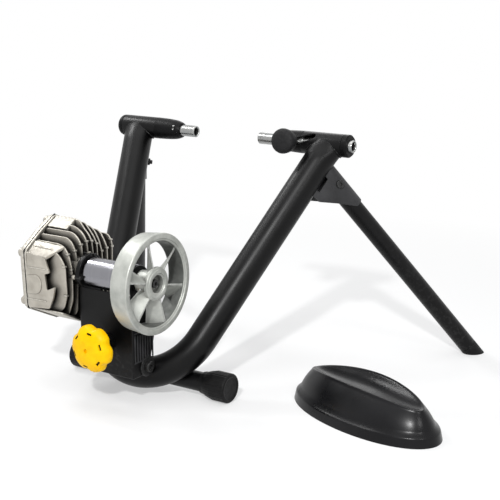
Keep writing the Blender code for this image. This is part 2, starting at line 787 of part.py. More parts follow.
def foot_cap(name, side, slot):
    """A faceted cap over the crossbar's end, with one flat facet on the floor."""
    seat = CROSSBAR_RADIUS + SEAT_GAP
    taper_end = FOOT_START + FOOT_TAPER_LENGTH
    half_taper = (FOOT_NECK_RADIUS + FOOT_RADIUS) / 2
    dish = FOOT_END - FOOT_RIM_DEPTH
    sections = (
        (FOOT_NECK_RADIUS, FOOT_START),
        (half_taper, FOOT_START + FOOT_TAPER_LENGTH / 2),
        (FOOT_RADIUS, taper_end),
        (FOOT_RADIUS, FOOT_END - FOOT_EDGE),
        (FOOT_RADIUS - FOOT_EDGE, FOOT_END),
        (FOOT_RADIUS - FOOT_EDGE - FOOT_RIM_WIDTH + FOOT_RIM_DEPTH, FOOT_END),
        (FOOT_RADIUS - FOOT_EDGE - FOOT_RIM_WIDTH, dish),
    )
    seat_floor = FOOT_END - FOOT_END_THICKNESS
    across = 1 / math.cos(math.pi / FOOT_FACETS)
    profile = [(apothem * across, along) for apothem, along in sections]
    profile += [(0, dish), (0, seat_floor), (seat * across, seat_floor), (seat * across, FOOT_START)]
    # Half a facet's turn lays one facet flat on the floor.
    place = frame_of((0, CROSSBAR_Y, FOOT_RADIUS), X_AXIS * side)
    turn = Matrix.Rotation(math.pi / FOOT_FACETS, 4, "Z")
    turned(name, profile, slot, place @ turn, None, FOOT_FACETS, math.radians(15))


def arm_direction(side):
    down = arm_plane(-side * math.sin(ARM_SPLAY), math.cos(ARM_SPLAY)) - arm_plane(0, 0)
    return down.normalized()


def leg_geometry(side):
    """Arm top, arm direction, direction away from the arm, hinge point, leg direction and hinge axis."""
    top = arm_plane(side * ARM_HALF_SPACING, 0)
    arm = arm_direction(side)
    outward = arm_plane(side * math.cos(ARM_SPLAY), math.sin(ARM_SPLAY)) - arm_plane(0, 0)
    away = outward * math.cos(LEG_TURN) + plane_normal() * math.sin(LEG_TURN)
    hinge = top + arm * HINGE_ALONG_ARM + away * HINGE_FROM_ARM
    leg = arm * math.cos(LEG_ANGLE) + away * math.sin(LEG_ANGLE)
    axis = arm.cross(away) * side
    return top, arm, away, hinge, leg, axis


def build_leg(side, name, slots, hinge_empty):
    hinge, leg, axis = leg_geometry(side)[3:]
    frame = frame_of(hinge, leg, axis)
    slope = math.sqrt(1 - leg.z ** 2)
    end = (hinge.z - LEG_RADIUS * slope - LEG_FOOT_HEIGHT) / -leg.z
    bore = LEG_RADIUS - LEG_WALL
    steps = 4
    dome = [math.pi / 2 * k / steps for k in range(steps + 1)]
    outer = [(LEG_RADIUS * math.sin(t), -LEG_RADIUS * math.cos(t)) for t in dome]
    inner = [(bore * math.sin(t), -bore * math.cos(t)) for t in dome]
    outer[0] = (0, -LEG_RADIUS)
    inner[0] = (0, -bore)
    profile = outer + [(LEG_RADIUS, end), (bore, end)] + inner[::-1]
    tube = turned(f"{name}_leg_tube", profile, slots["paint"], frame, hinge_empty)
    bolt_frame = frame_of(hinge, axis, leg)
    hole = rod(f"{name}_leg_hole", HINGE_BOLT_RADIUS + SEAT_GAP, -LEG_RADIUS * 1.5, LEG_RADIUS * 1.5,
               None, bolt_frame, hinge_empty, sides=SMALL_SIDES)
    boolean(tube, "DIFFERENCE", hole)

    foot_start = end + SEAT_GAP
    past_floor = end + 2 * LEG_RADIUS + LEG_FOOT_HEIGHT / -leg.z + LEG_RADIUS
    plug = bore - SEAT_GAP
    foot_profile = (
        (0, end - LEG_PLUG_LENGTH),
        (plug, end - LEG_PLUG_LENGTH),
        (plug, foot_start),
        (LEG_RADIUS, foot_start),
        (LEG_RADIUS, past_floor),
        (0, past_floor),
    )
    foot = turned(f"{name}_leg_foot", foot_profile, slots["rubber"], frame, hinge_empty)
    contact = hinge + leg * (hinge.z / -leg.z)
    size = LEG_RADIUS * 4
    square = ((-size, -size), (size, -size), (size, size), (-size, size))
    floor = prism(f"{name}_floor", square, -2 * size, 0, None,
                  Matrix.Translation((contact.x, contact.y, 0)), hinge_empty)
    boolean(foot, "DIFFERENCE", floor)
    build_bracket(side, name, slots)


def build_bracket(side, name, slots):
    """The bracket on the arm: a round back behind the leg and two cheeks that carry the hinge bolt."""
    top, arm, away, hinge, leg, axis = leg_geometry(side)
    normal = arm.cross(away)
    inner = LEG_RADIUS + SEAT_GAP
    outer = inner + BRACKET_WALL
    leg_frame = frame_of(hinge, leg, normal)
    arm_frame = frame_of(top, normal, arm)
    far = 4 * HINGE_FROM_ARM
    bracket = prism(f"{name}_leg_bracket", trough_outline(outer, far), -far, far, slots["bracket"], leg_frame)
    silhouette_outline = [in_frame(arm_frame, top + arm * x + away * y) for x, y in BRACKET_OUTLINE]
    silhouette = prism(f"{name}_silhouette", silhouette_outline, -2 * outer, 2 * outer, None, arm_frame)
    boolean(bracket, "INTERSECT", silhouette)
    channel = prism(f"{name}_channel", trough_outline(inner, 2 * far), -2 * far, 2 * far, None, leg_frame)
    arm_middle = top + arm * HINGE_ALONG_ARM
    arm_room = rod(f"{name}_arm_room", TUBE_RADIUS + SEAT_GAP, -far, far, None, frame_of(arm_middle, arm))
    bolt_frame = frame_of(hinge, axis, leg)
    bolt_hole = rod(f"{name}_bracket_hole", HINGE_BOLT_RADIUS + SEAT_GAP, -2 * outer, 2 * outer, None,
                    bolt_frame, sides=SMALL_SIDES)
    boolean(bracket, "DIFFERENCE", channel, arm_room, bolt_hole)

    face = outer + SEAT_GAP
    screw(f"{name}_hinge_bolt", HINGE_BOLT_RADIUS, -(2 * face + HINGE_NUT_HEIGHT), HINGE_HEAD_RADIUS,
          HINGE_HEAD_HEIGHT, slots["steel"], bolt_frame @ Matrix.Translation((0, 0, face)), sides=SMALL_SIDES)
    turned(f"{name}_hinge_nut", nut_profile(HINGE_BOLT_RADIUS, HINGE_HEAD_RADIUS, HINGE_NUT_HEIGHT),
           slots["steel"], bolt_frame @ Matrix.Translation((0, 0, -face)), sides=6, smooth=None)


def trough_outline(radius, far):
    """A half circle behind the leg that runs on straight to the arm's side."""
    round_back = arc_points((0, 0), radius, -math.pi / 2, math.pi / 2, SIDES // 2)
    return round_back + [(-far, radius), (-far, -radius)]


def nut_profile(shank, outer, height):
    """A nut below local z = 0, on a shank of this radius."""
    bore = shank + SEAT_GAP
    clear = bore / math.cos(math.pi / 6)
    return ((clear, 0), (outer, 0), (outer, -height), (clear, -height))


def in_frame(frame, point):
    local = frame.inverted() @ point
    return (local.x, local.y)


def build_unit_mount(slots, trunnion_empty):
    """The two lugs on the bend, with the pivot sleeve and the barrel nut of the tension screw."""
    frame = along_x((0, 0, 0), 0)
    outline = [(PIVOT_Y + forward, PIVOT_Z + up) for forward, up in LUG_OUTLINE]
    sleeve_end = YOKE_RIGHT - YOKE_WALL - SEAT_GAP
    sleeve_start = YOKE_LEFT + YOKE_WALL + SEAT_GAP
    notch = swept_main_tube("lug_notch", TUBE_RADIUS + SEAT_GAP, None)
    sleeve_hole = rod("sleeve_hole", SLEEVE_RADIUS + SEAT_GAP, -2 * LUG_SPACING, 2 * LUG_SPACING, None,
                      along_x(PIVOT_AXIS, 0))
    trunnion_hole = rod("trunnion_hole", TRUNNION_RADIUS + SEAT_GAP, -2 * LUG_SPACING, 2 * LUG_SPACING,
                        None, along_x(TRUNNION_AXIS, 0))
    for side, name in ((-1, "pivot_lug_left"), (1, "pivot_lug_right")):
        middle = side * LUG_SPACING
        lug = prism(name, outline, middle - LUG_THICKNESS / 2, middle + LUG_THICKNESS / 2, slots["paint"],
                    frame)
        boolean(lug, "DIFFERENCE", notch, sleeve_hole, trunnion_hole)
    pipe("pivot_sleeve", SLEEVE_RADIUS, PIVOT_BOLT_RADIUS + SEAT_GAP, sleeve_start, sleeve_end,
         slots["paint"], along_x(PIVOT_AXIS, 0))
    half = LUG_SPACING + LUG_THICKNESS
    trunnion = rod("tension_trunnion", TRUNNION_RADIUS, -half, half, slots["steel"],
                   along_x(TRUNNION_AXIS, 0), trunnion_empty)
    through = 2 * TRUNNION_RADIUS
    stud_bore = rod("trunnion_bore", STUD_RADIUS + STUD_GAP, -through, through, None,
                    frame_of(TRUNNION_AXIS, BACKWARD), trunnion_empty, sides=SMALL_SIDES)
    boolean(trunnion, "DIFFERENCE", stud_bore)


def yoke_outline():
    """Side wall of the yoke, as (forward, up): round over the shaft, straight at the back."""
    points = [(YOKE_BACK_Y, PIVOT_Z - YOKE_FOOT_RADIUS), (YOKE_BACK_Y, YOKE_WEB_TOP)]
    points.reverse()
    foot = arc_points((PIVOT_Y, PIVOT_Z), YOKE_FOOT_RADIUS, -math.pi / 2, math.radians(20), 6)
    front = [(PIVOT_Y + forward, PIVOT_Z + up) for forward, up in YOKE_FRONT]
    head = arc_points((ROLLER_Y, ROLLER_Z), YOKE_HEAD_RADIUS, math.radians(-8), math.radians(200), 12)
    return points + foot + front + head


def build_yoke(slots, unit):
    frame = along_x((0, 0, 0), 0)
    slot = slots["paint"]
    yoke = prism("yoke", yoke_outline(), YOKE_LEFT, YOKE_RIGHT, slot, frame, unit)
    # The room inside: in front of the web, and everything above it.
    web_front = YOKE_BACK_Y + YOKE_WALL
    far = 2 * (YOKE_RIGHT - YOKE_LEFT)
    room_outline = (
        (web_front, PIVOT_Z - far),
        (PIVOT_Y + far, PIVOT_Z - far),
        (PIVOT_Y + far, ROLLER_Z + far),
        (YOKE_BACK_Y - far, ROLLER_Z + far),
        (YOKE_BACK_Y - far, YOKE_WEB_TOP),
        (web_front, YOKE_WEB_TOP),
    )
    room = prism("yoke_room", room_outline, YOKE_LEFT + YOKE_WALL, YOKE_RIGHT - YOKE_WALL, None, frame, unit)
    boolean(yoke, "DIFFERENCE", room)
    left_boss = rod("yoke_left_boss", HOUSING_BOSS_RADIUS, YOKE_LEFT + YOKE_WALL / 3,
                    YOKE_LEFT + LEFT_BOSS_DEPTH, None, along_x(ROLLER_AXIS, 0), unit)
    right_boss = rod("yoke_right_boss", BEARING_BOSS_RADIUS, RIGHT_BOSS_LEFT, RIGHT_BOSS_RIGHT, None,
                     along_x(ROLLER_AXIS, 0), unit, sides=RIGHT_BOSS_SIDES)
    boolean(yoke, "UNION", left_boss, right_boss)
    bearing_bore = rod("bearing_bore", BEARING_RADIUS + SEAT_GAP, -far, far, None,
                       along_x(ROLLER_AXIS, 0), unit)
    bolt_bore = rod("pivot_bore", PIVOT_BOLT_RADIUS + SEAT_GAP, -far, far, None,
                    along_x(PIVOT_AXIS, 0), unit)
    stud_bore = rod("stud_bore", STUD_RADIUS + STUD_GAP, -2 * YOKE_WALL, YOKE_WALL, None,
                    frame_of((0, YOKE_BACK_Y, TENSION_Z), BACKWARD), unit, sides=SMALL_SIDES)
    boolean(yoke, "DIFFERENCE", bearing_bore, bolt_bore, stud_bore)
    return yoke


def build_pivot_bolt(slots, unit):
    face = YOKE_RIGHT + SEAT_GAP
    washer_end = face + PIVOT_WASHER_THICKNESS
    pipe("pivot_washer", PIVOT_WASHER_RADIUS, PIVOT_BOLT_RADIUS + SEAT_GAP, face, washer_end,
         slots["steel"], along_x(PIVOT_AXIS, 0), unit)
    head_face = washer_end + SEAT_GAP
    nut_face = YOKE_LEFT - SEAT_GAP
    nut_height = PIVOT_HEAD_HEIGHT
    screw("pivot_bolt", PIVOT_BOLT_RADIUS, nut_face - nut_height - head_face, PIVOT_HEAD_RADIUS,
          PIVOT_HEAD_HEIGHT, slots["steel"], along_x(PIVOT_AXIS, head_face), unit, sides=24)
    turned("pivot_nut", nut_profile(PIVOT_BOLT_RADIUS, PIVOT_HEAD_RADIUS, nut_height), slots["steel"],
           along_x(PIVOT_AXIS, nut_face), unit, sides=6, smooth=None)


def build_knob(slots, knob_empty):
    """A scalloped, domed knob on its stud, which pulls the yoke's web towards the barrel nut."""
    axis = Vector((0, 0, TENSION_Z))
    frame = frame_of(axis, BACKWARD)
    web = -YOKE_BACK_Y + SEAT_GAP
    rim = web + KNOB_HUB_LENGTH
    top = rim + KNOB_DEPTH
    socket_floor = top - KNOB_TOP_WALL
    rod("tension_stud", STUD_RADIUS, -PIVOT_Y - STUD_PAST_TRUNNION, socket_floor - SEAT_GAP,
        slots["steel"], frame, knob_empty, sides=SMALL_SIDES)
    data = bmesh.new()
    sides = KNOB_LOBES * KNOB_SIDES_PER_LOBE
    bore = STUD_RADIUS + SEAT_GAP
    sections = [(bore, web, 0), (KNOB_HUB_RADIUS, web, 0), (KNOB_HUB_RADIUS, rim, 0)]
    sections += [(KNOB_RADIUS * r, rim + KNOB_DEPTH * along, cut) for r, along, cut in KNOB_SECTIONS]
    rings = [lobed_ring(data, radius, along, share, sides) for radius, along, share in sections]
    rings.append([data.verts.new((0, 0, top))])
    rings.append([data.verts.new((0, 0, socket_floor))])
    rings.append(lobed_ring(data, bore, socket_floor, 0, sides))
    bridge_rings(data, rings, closed=True)
    new_object("tension_knob", data, slots["yellow"], frame, knob_empty, math.radians(30))


def lobed_ring(data, radius, along, share, sides):
    ring = []
    for k in range(sides):
        t = 2 * math.pi * k / sides
        valley = (0.5 + 0.5 * math.cos(KNOB_LOBES * t)) ** KNOB_LOBE_SHARPNESS
        r = radius - KNOB_LOBE_DEPTH * share * valley
        turn = t + KNOB_PHASE
        ring.append(data.verts.new((r * math.cos(turn), r * math.sin(turn), along)))
    return ring


def housing_outline(offset=0.0):
    """The housing's outline as world (forward, up) points, moved outward by an offset."""
    points = [Vector((ROLLER_Y + y, ROLLER_Z + z)) for y, z in HOUSING_OUTLINE]
    if not offset:
        return [(p.x, p.y) for p in points]
    moved = []
    count = len(points)
    for k, p in enumerate(points):
        before = (p - points[k - 1]).normalized()
        after = (points[(k + 1) % count] - p).normalized()
        normal_a = Vector((-before.y, before.x))
        normal_b = Vector((-after.y, after.x))
        middle = (normal_a + normal_b).normalized()
        moved.append(p - middle * (offset / middle.dot(normal_a)))
    return [(p.x, p.y) for p in moved]


def outline_span(y):
    """Lowest and highest point of the housing's outline at one place forward of the axis."""
    heights = []
    count = len(HOUSING_OUTLINE)
    for k in range(count):
        (y0, z0), (y1, z1) = HOUSING_OUTLINE[k], HOUSING_OUTLINE[(k + 1) % count]
        if min(y0, y1) <= y <= max(y0, y1) and y0 != y1:
            heights.append(z0 + (z1 - z0) * (y - y0) / (y1 - y0))
    return min(heights), max(heights)


def build_fin(index, forward, bulge, unit):
    """A cooling fin square to the bicycle's travel, with rounded corners towards the flywheel."""
    half = FIN_THICKNESS / 2
    spans = [outline_span(forward - half), outline_span(forward + half)]
    low = max(span[0] for span in spans) + FIN_INSET
    high = min(span[1] for span in spans) - FIN_INSET
    root = HOUSING_CORE_RIGHT - UNION_BITE
    corner = [(root + (bulge - root) * share, drop) for share, drop in FIN_CORNER]
    outline = [(root, low), (root, high)]
    outline += [(x, high - drop) for x, drop in corner]
    outline += [(x, low + drop) for x, drop in corner[::-1]]
    turned_outline = [(x, z + ROLLER_Z) for x, z in outline]
    place = Matrix.Translation((0, ROLLER_Y + forward, 0)) @ Matrix.Rotation(math.pi / 2, 4, "X")
    return prism(f"fin_{index}", turned_outline, -half, half, None, place, unit)


def cover_screw_places():
    """Places of the cover's screws, moved in from the outline's corners towards the axis."""
    places = []
    for corner in COVER_SCREW_CORNERS:
        y, z = HOUSING_OUTLINE[corner]
        reach = math.hypot(y, z)
        share = (reach - COVER_SCREW_INSET) / reach
        places.append(Vector((0, ROLLER_Y + y * share, ROLLER_Z + z * share)))
    return places


def housing_bolt_places():
    places = []
    for angle in HOUSING_BOLT_ANGLES:
        offset = Vector((0, math.cos(angle), math.sin(angle))) * HOUSING_BOLT_CIRCLE
        places.append(ROLLER_AXIS + offset)
    return places


def build_housing(slots, unit, yoke):
    frame = along_x((0, 0, 0), 0)
    alloy = slots["alloy"]
    core = prism("fluid_housing", housing_outline(), HOUSING_LEFT, HOUSING_CORE_RIGHT, alloy, frame, unit)
    lip = housing_outline(HOUSING_LIP)
    flange = prism("housing_flange", lip, HOUSING_LEFT, HOUSING_LEFT + HOUSING_FLANGE_WIDTH, None, frame,
                   unit)
    boss = rod("housing_boss", HOUSING_BOSS_RADIUS, HOUSING_CORE_RIGHT - UNION_BITE,
               YOKE_LEFT - SEAT_GAP, None, along_x(ROLLER_AXIS, 0), unit)
    fins = [build_fin(index, y, bulge, unit) for index, (y, bulge) in enumerate(FINS, 1)]
    boolean(core, "UNION", flange, boss, *fins)
    cavity_end = HOUSING_LEFT + CAVITY_DEPTH
    cavity = rod("housing_cavity", CAVITY_RADIUS, HOUSING_LEFT - CUT_OVERRUN, cavity_end, None,
                 along_x(ROLLER_AXIS, 0), unit)
    seal_seat = rod("seal_seat", SEAL_RADIUS + SEAT_GAP, cavity_end - UNION_BITE,
                    cavity_end + SEAL_WIDTH + SEAT_GAP, None, along_x(ROLLER_AXIS, 0), unit)
    shaft_room = rod("shaft_room", SHAFT_ROOM_RADIUS, HOUSING_LEFT, YOKE_LEFT + CUT_OVERRUN, None,
                     along_x(ROLLER_AXIS, 0), unit)
    boolean(core, "DIFFERENCE", cavity, seal_seat, shaft_room)
    pipe("shaft_seal", SEAL_RADIUS, SHAFT_RADIUS + RUNNING_GAP * 2, cavity_end,
         cavity_end + SEAL_WIDTH, slots["rubber"], along_x(ROLLER_AXIS, 0), unit)

    gasket_face = HOUSING_LEFT - SEAT_GAP
    gasket_end = gasket_face - GASKET_THICKNESS
    gasket = prism("housing_gasket", lip, gasket_end, gasket_face, slots["rubber"], frame, unit)
    boolean(gasket, "DIFFERENCE", cavity)
    cover_face = gasket_end - SEAT_GAP
    cover_end = cover_face - COVER_THICKNESS
    cover = build_cover(slots, unit, lip, cover_face, cover_end)
    bolt_yoke_to_housing(slots, unit, yoke, core)
    for index, place in enumerate(cover_screw_places(), 1):
        hole = rod(f"cover_screw_hole_{index}", COVER_SCREW_RADIUS + SEAT_GAP,
                   HOUSING_LEFT + COVER_SCREW_DEPTH + HOLE_PAST_SCREW,
                   cover_end - COVER_BOSS_HEIGHT - CUT_OVERRUN, None, along_x(place, 0), unit,
                   sides=SMALL_SIDES)
        for piece in (core, gasket, cover):
            boolean(piece, "DIFFERENCE", hole)
        face = cover_end - COVER_BOSS_HEIGHT - SEAT_GAP
        screw(f"cover_screw_{index}", COVER_SCREW_RADIUS, face - HOUSING_LEFT - COVER_SCREW_DEPTH,
              COVER_SCREW_HEAD_RADIUS, COVER_SCREW_HEAD_HEIGHT, slots["steel"],
              frame_of(place + X_AXIS * face, -X_AXIS), unit, sides=SMALL_SIDES)


def build_cover(slots, unit, lip, face, end):
    """The end cover: a bevelled plate with a round boss under each screw."""
    frame = along_x((0, 0, 0), 0)
    inner = housing_outline(HOUSING_LIP - COVER_BEVEL)
    data = bmesh.new()
    rings = []
    for outline, x in ((lip, face), (lip, end + COVER_BEVEL), (inner, end)):
        rings.append([data.verts.new((y, z, x)) for y, z in outline])
    bridge_rings(data, rings, closed=False)
    data.faces.new(rings[0])
    data.faces.new(rings[-1])
    cover = new_object("housing_cover", data, slots["alloy"], frame, unit)
    for index, place in enumerate(cover_screw_places(), 1):
        boss = rod(f"cover_boss_{index}", COVER_BOSS_RADIUS, end - COVER_BOSS_HEIGHT,
                   (face + end) / 2, None, along_x(place, 0), unit, sides=SMALL_SIDES)
        boolean(cover, "UNION", boss)
    return cover


def bolt_yoke_to_housing(slots, unit, yoke, core):
    face = YOKE_LEFT + LEFT_BOSS_DEPTH + SEAT_GAP
    for index, place in enumerate(housing_bolt_places(), 1):
        hole = rod(f"housing_bolt_hole_{index}", HOUSING_BOLT_RADIUS + SEAT_GAP,
                   YOKE_LEFT - HOUSING_BOLT_DEPTH - HOLE_PAST_SCREW, face + CUT_OVERRUN, None,
                   along_x(place, 0), unit, sides=SMALL_SIDES)
        boolean(yoke, "DIFFERENCE", hole)
        boolean(core, "DIFFERENCE", hole)
        screw(f"housing_bolt_{index}", HOUSING_BOLT_RADIUS, YOKE_LEFT - HOUSING_BOLT_DEPTH - face,
              HOUSING_BOLT_HEAD_RADIUS, HOUSING_BOLT_HEAD_HEIGHT, slots["steel"],
              along_x(place, face), unit, sides=SMALL_SIDES)


def build_bearings(slots, unit):
    left_end = YOKE_LEFT + LEFT_BOSS_DEPTH - BEARING_RECESS
    right_start = (RIGHT_BOSS_LEFT + RIGHT_BOSS_RIGHT - BEARING_WIDTH) / 2
    spans = (
        ("bearing_left", left_end - BEARING_WIDTH, left_end),
        ("bearing_right", right_start, right_start + BEARING_WIDTH),
    )
    for name, start, end in spans:
        pipe(name, BEARING_RADIUS, SHAFT_RADIUS + RUNNING_GAP, start, end, slots["steel"],
             along_x(ROLLER_AXIS, 0), unit)


def build_rotor(slots, rotor):
    frame = along_x(ROLLER_AXIS, 0)
    thread = FLYWHEEL_BOLT_RADIUS + SEAT_GAP
    thread_floor = SHAFT_RIGHT - FLYWHEEL_BOLT_DEPTH
    shaft_profile = (
        (0, SHAFT_LEFT),
        (SHAFT_RADIUS, SHAFT_LEFT),
        (SHAFT_RADIUS, SHAFT_RIGHT),
        (thread, SHAFT_RIGHT),
        (thread, thread_floor),
        (0, thread_floor),
    )
    turned("rotor_shaft", shaft_profile, slots["steel"], frame, rotor)
    bore = SHAFT_RADIUS + SEAT_GAP
    roller_profile = (
        (bore, ROLLER_LEFT),
        (ROLLER_RADIUS - ROLLER_CHAMFER, ROLLER_LEFT),
        (ROLLER_RADIUS, ROLLER_LEFT + ROLLER_CHAMFER),
        (ROLLER_RADIUS, ROLLER_RIGHT - ROLLER_CHAMFER),
        (ROLLER_RADIUS - ROLLER_CHAMFER, ROLLER_RIGHT),
        (bore, ROLLER_RIGHT),
    )
    turned("roller", roller_profile, slots["roller"], frame, rotor, sides=36)
    build_flywheel(slots, rotor, bore)
    build_impeller(slots, rotor, bore)


def build_flywheel(slots, rotor, bore):
    frame = along_x(ROLLER_AXIS, 0)
    edge = RIM_EDGE
    rim_profile = (
        (RIM_BORE, FLYWHEEL_FRONT),
        (FLYWHEEL_RADIUS - edge, FLYWHEEL_FRONT),
        (FLYWHEEL_RADIUS, FLYWHEEL_FRONT - edge),
        (FLYWHEEL_BACK_RADIUS, FLYWHEEL_BACK + edge),
        (FLYWHEEL_BACK_RADIUS - edge, FLYWHEEL_BACK),
        (RIM_BORE, FLYWHEEL_BACK),
        (RIM_NECK_BORE, RIM_NECK_X),
    )
    wheel = turned("flywheel", rim_profile, slots["flywheel"], frame, rotor, sides=48)
    recess_floor = FLYWHEEL_FRONT - HUB_RECESS_DEPTH
    disc_back = FLYWHEEL_FRONT - HUB_DISC_THICKNESS
    hub_face = FLYWHEEL_FRONT - HUB_EDGE
    hub_profile = (
        (bore, FLYWHEEL_BACK),
        (HUB_BODY_RADIUS - HUB_BODY_TAPER, FLYWHEEL_BACK),
        (HUB_BODY_RADIUS, disc_back - HUB_BODY_TAPER),
        (HUB_RADIUS, disc_back),
        (HUB_RADIUS, hub_face - HUB_EDGE),
        (HUB_RADIUS - HUB_EDGE, hub_face),
        (HUB_RECESS_RADIUS + HUB_EDGE, hub_face),
        (HUB_RECESS_RADIUS, hub_face - HUB_EDGE),
        (HUB_RECESS_RADIUS, recess_floor),
        (FLYWHEEL_BOLT_RADIUS + SEAT_GAP, recess_floor),
        (FLYWHEEL_BOLT_RADIUS + SEAT_GAP, recess_floor - HUB_FLOOR),
        (bore, recess_floor - HUB_FLOOR),
    )
    hub = turned("flywheel_hub", hub_profile, None, frame, rotor)
    blades = [build_blade(index, rotor) for index in range(BLADE_COUNT)]
    boolean(hub, "UNION", *blades)
    boolean(wheel, "UNION", hub)
    head_face = recess_floor + SEAT_GAP
    bolt_end = SHAFT_RIGHT - FLYWHEEL_BOLT_DEPTH + BOLT_END_GAP
    screw("flywheel_bolt", FLYWHEEL_BOLT_RADIUS, bolt_end - head_face, FLYWHEEL_BOLT_HEAD_RADIUS,
          FLYWHEEL_BOLT_HEAD_HEIGHT, slots["steel"], along_x(ROLLER_AXIS, head_face), rotor,
          sides=SIDES)


def build_blade(index, rotor):
    """A twisted blade from the hub's disc to the rim, its front edge on a radius."""
    inner = HUB_BODY_RADIUS - UNION_BITE
    outer = (RIM_BORE + FLYWHEEL_BACK_RADIUS) / 2
    data = bmesh.new()
    rings = []
    for k in range(BLADE_STEPS + 1):
        share = k / BLADE_STEPS
        x = BLADE_FRONT + (BLADE_BACK - BLADE_FRONT) * share
        angle = BLADE_PHASE + 2 * math.pi * index / BLADE_COUNT - BLADE_TWIST * share
        ring = []
        for radius, sign in ((inner, -1), (outer, -1), (outer, 1), (inner, 1)):
            swing = angle + sign * blade_half_angle(radius)
            ring.append(data.verts.new((radius * math.cos(swing), radius * math.sin(swing), x)))
        rings.append(ring)
    bridge_rings(data, rings, closed=False)
    data.faces.new(rings[0])
    data.faces.new(rings[-1])
    return new_object(f"flywheel_blade_{index + 1}", data, None, along_x(ROLLER_AXIS, 0), rotor)


def blade_half_angle(radius):
    """Half the blade's width as an angle, wider where its surface runs slanted across the rim."""
    slope = radius * BLADE_TWIST / (BLADE_FRONT - BLADE_BACK)
    return BLADE_THICKNESS / 2 * math.sqrt(1 + slope * slope) / radius


def turned_point(radial, tangential, angle):
    c, s = math.cos(angle), math.sin(angle)
    return (radial * c - tangential * s, radial * s + tangential * c)


def build_impeller(slots, rotor, bore):
    outline = []
    for k in range(IMPELLER_VANES):
        middle = 2 * math.pi * k / IMPELLER_VANES
        half = IMPELLER_VANE_WIDTH / 2
        for radial, tangential in (
            (IMPELLER_HUB_RADIUS, -half),
            (IMPELLER_RADIUS, -half),
            (IMPELLER_RADIUS, half),
            (IMPELLER_HUB_RADIUS, half),
        ):
            outline.append(turned_point(radial, tangential, middle))
    impeller = prism("impeller", outline, IMPELLER_LEFT, IMPELLER_RIGHT, slots["alloy"],
                     along_x(ROLLER_AXIS, 0), rotor)
    hole = rod("impeller_bore", bore, IMPELLER_LEFT - CUT_OVERRUN, IMPELLER_RIGHT + CUT_OVERRUN, None,
               along_x(ROLLER_AXIS, 0), rotor)
    boolean(impeller, "DIFFERENCE", hole)


def oval(angle, half_length, half_width, roundness):
    c, s = math.cos(angle), math.sin(angle)
    x = half_length * math.copysign(abs(c) ** (2 / roundness), c)
    y = half_width * math.copysign(abs(s) ** (2 / roundness), s)
    return x, y


def block_ring(data, half_length, half_width, roundness, height, drop=0.0):
    """One oval ring of the block; drop lowers the two ends of its long axis."""
    ring = []
    for k in range(BLOCK_SEGMENTS):
        angle = 2 * math.pi * (k + 0.5) / BLOCK_SEGMENTS
        x, y = oval(angle, half_length, half_width, roundness)
        share = x / half_length
        ring.append(data.verts.new((x, y, height - drop * share * share)))
    return ring


def block_base_ring(data, inset, height):
    return block_ring(data, BLOCK_HALF_LENGTH - inset, BLOCK_HALF_WIDTH - inset, BLOCK_ROUNDNESS, height)


def block_rim_ring(data, inset, height, drop=BLOCK_RIM_DROP):
    return block_ring(data, BLOCK_RIM_HALF_LENGTH - inset, BLOCK_RIM_HALF_WIDTH - inset,
                      BLOCK_RIM_ROUNDNESS, height, drop)


def build_block(slots, empty):
    """A riser for the front wheel: a flanged oval with a dished top, open underneath."""
    data = bmesh.new()
    wall = BLOCK_WALL
    edge = BLOCK_RIM_EDGE
    share = BLOCK_DISH_SHARE
    floor = BLOCK_RIM_HEIGHT - BLOCK_DISH_DEPTH
    dish_drop = BLOCK_RIM_DROP * share * share
    dish_step = BLOCK_DISH_DEPTH * share * share
    outer = [
        block_base_ring(data, 0, 0),
        block_base_ring(data, BLOCK_FLANGE_DRAFT, BLOCK_FLANGE_HEIGHT),
        block_base_ring(data, BLOCK_SHOULDER_INSET, BLOCK_SHOULDER_HEIGHT),
        block_rim_ring(data, 0, BLOCK_RIM_HEIGHT - edge),
        block_rim_ring(data, edge, BLOCK_RIM_HEIGHT),
        block_ring(data, BLOCK_RIM_HALF_LENGTH * share, BLOCK_RIM_HALF_WIDTH * share,
                   BLOCK_RIM_ROUNDNESS, floor + dish_step, dish_drop),
        [data.verts.new((0, 0, floor))],
    ]
    under = floor - wall
    inner = [
        [data.verts.new((0, 0, under))],
        block_ring(data, BLOCK_RIM_HALF_LENGTH * share, BLOCK_RIM_HALF_WIDTH * share,
                   BLOCK_RIM_ROUNDNESS, under + dish_step - edge, dish_drop),
        block_rim_ring(data, wall + edge, BLOCK_RIM_HEIGHT - BLOCK_DISH_DEPTH / 2 - wall),
        block_base_ring(data, BLOCK_SHOULDER_INSET + wall, BLOCK_SHOULDER_HEIGHT - edge),
        block_base_ring(data, BLOCK_FLANGE_DRAFT + wall, BLOCK_FLANGE_HEIGHT - edge),
        block_base_ring(data, wall, 0),
    ]
    bridge_rings(data, outer + inner, closed=True)
    place = Matrix.Translation((BLOCK_X, BLOCK_Y, 0)) @ Matrix.Rotation(BLOCK_TURN, 4, "Z")
    new_object("front_wheel_block", data, slots["rubber"], place, empty, math.radians(35))


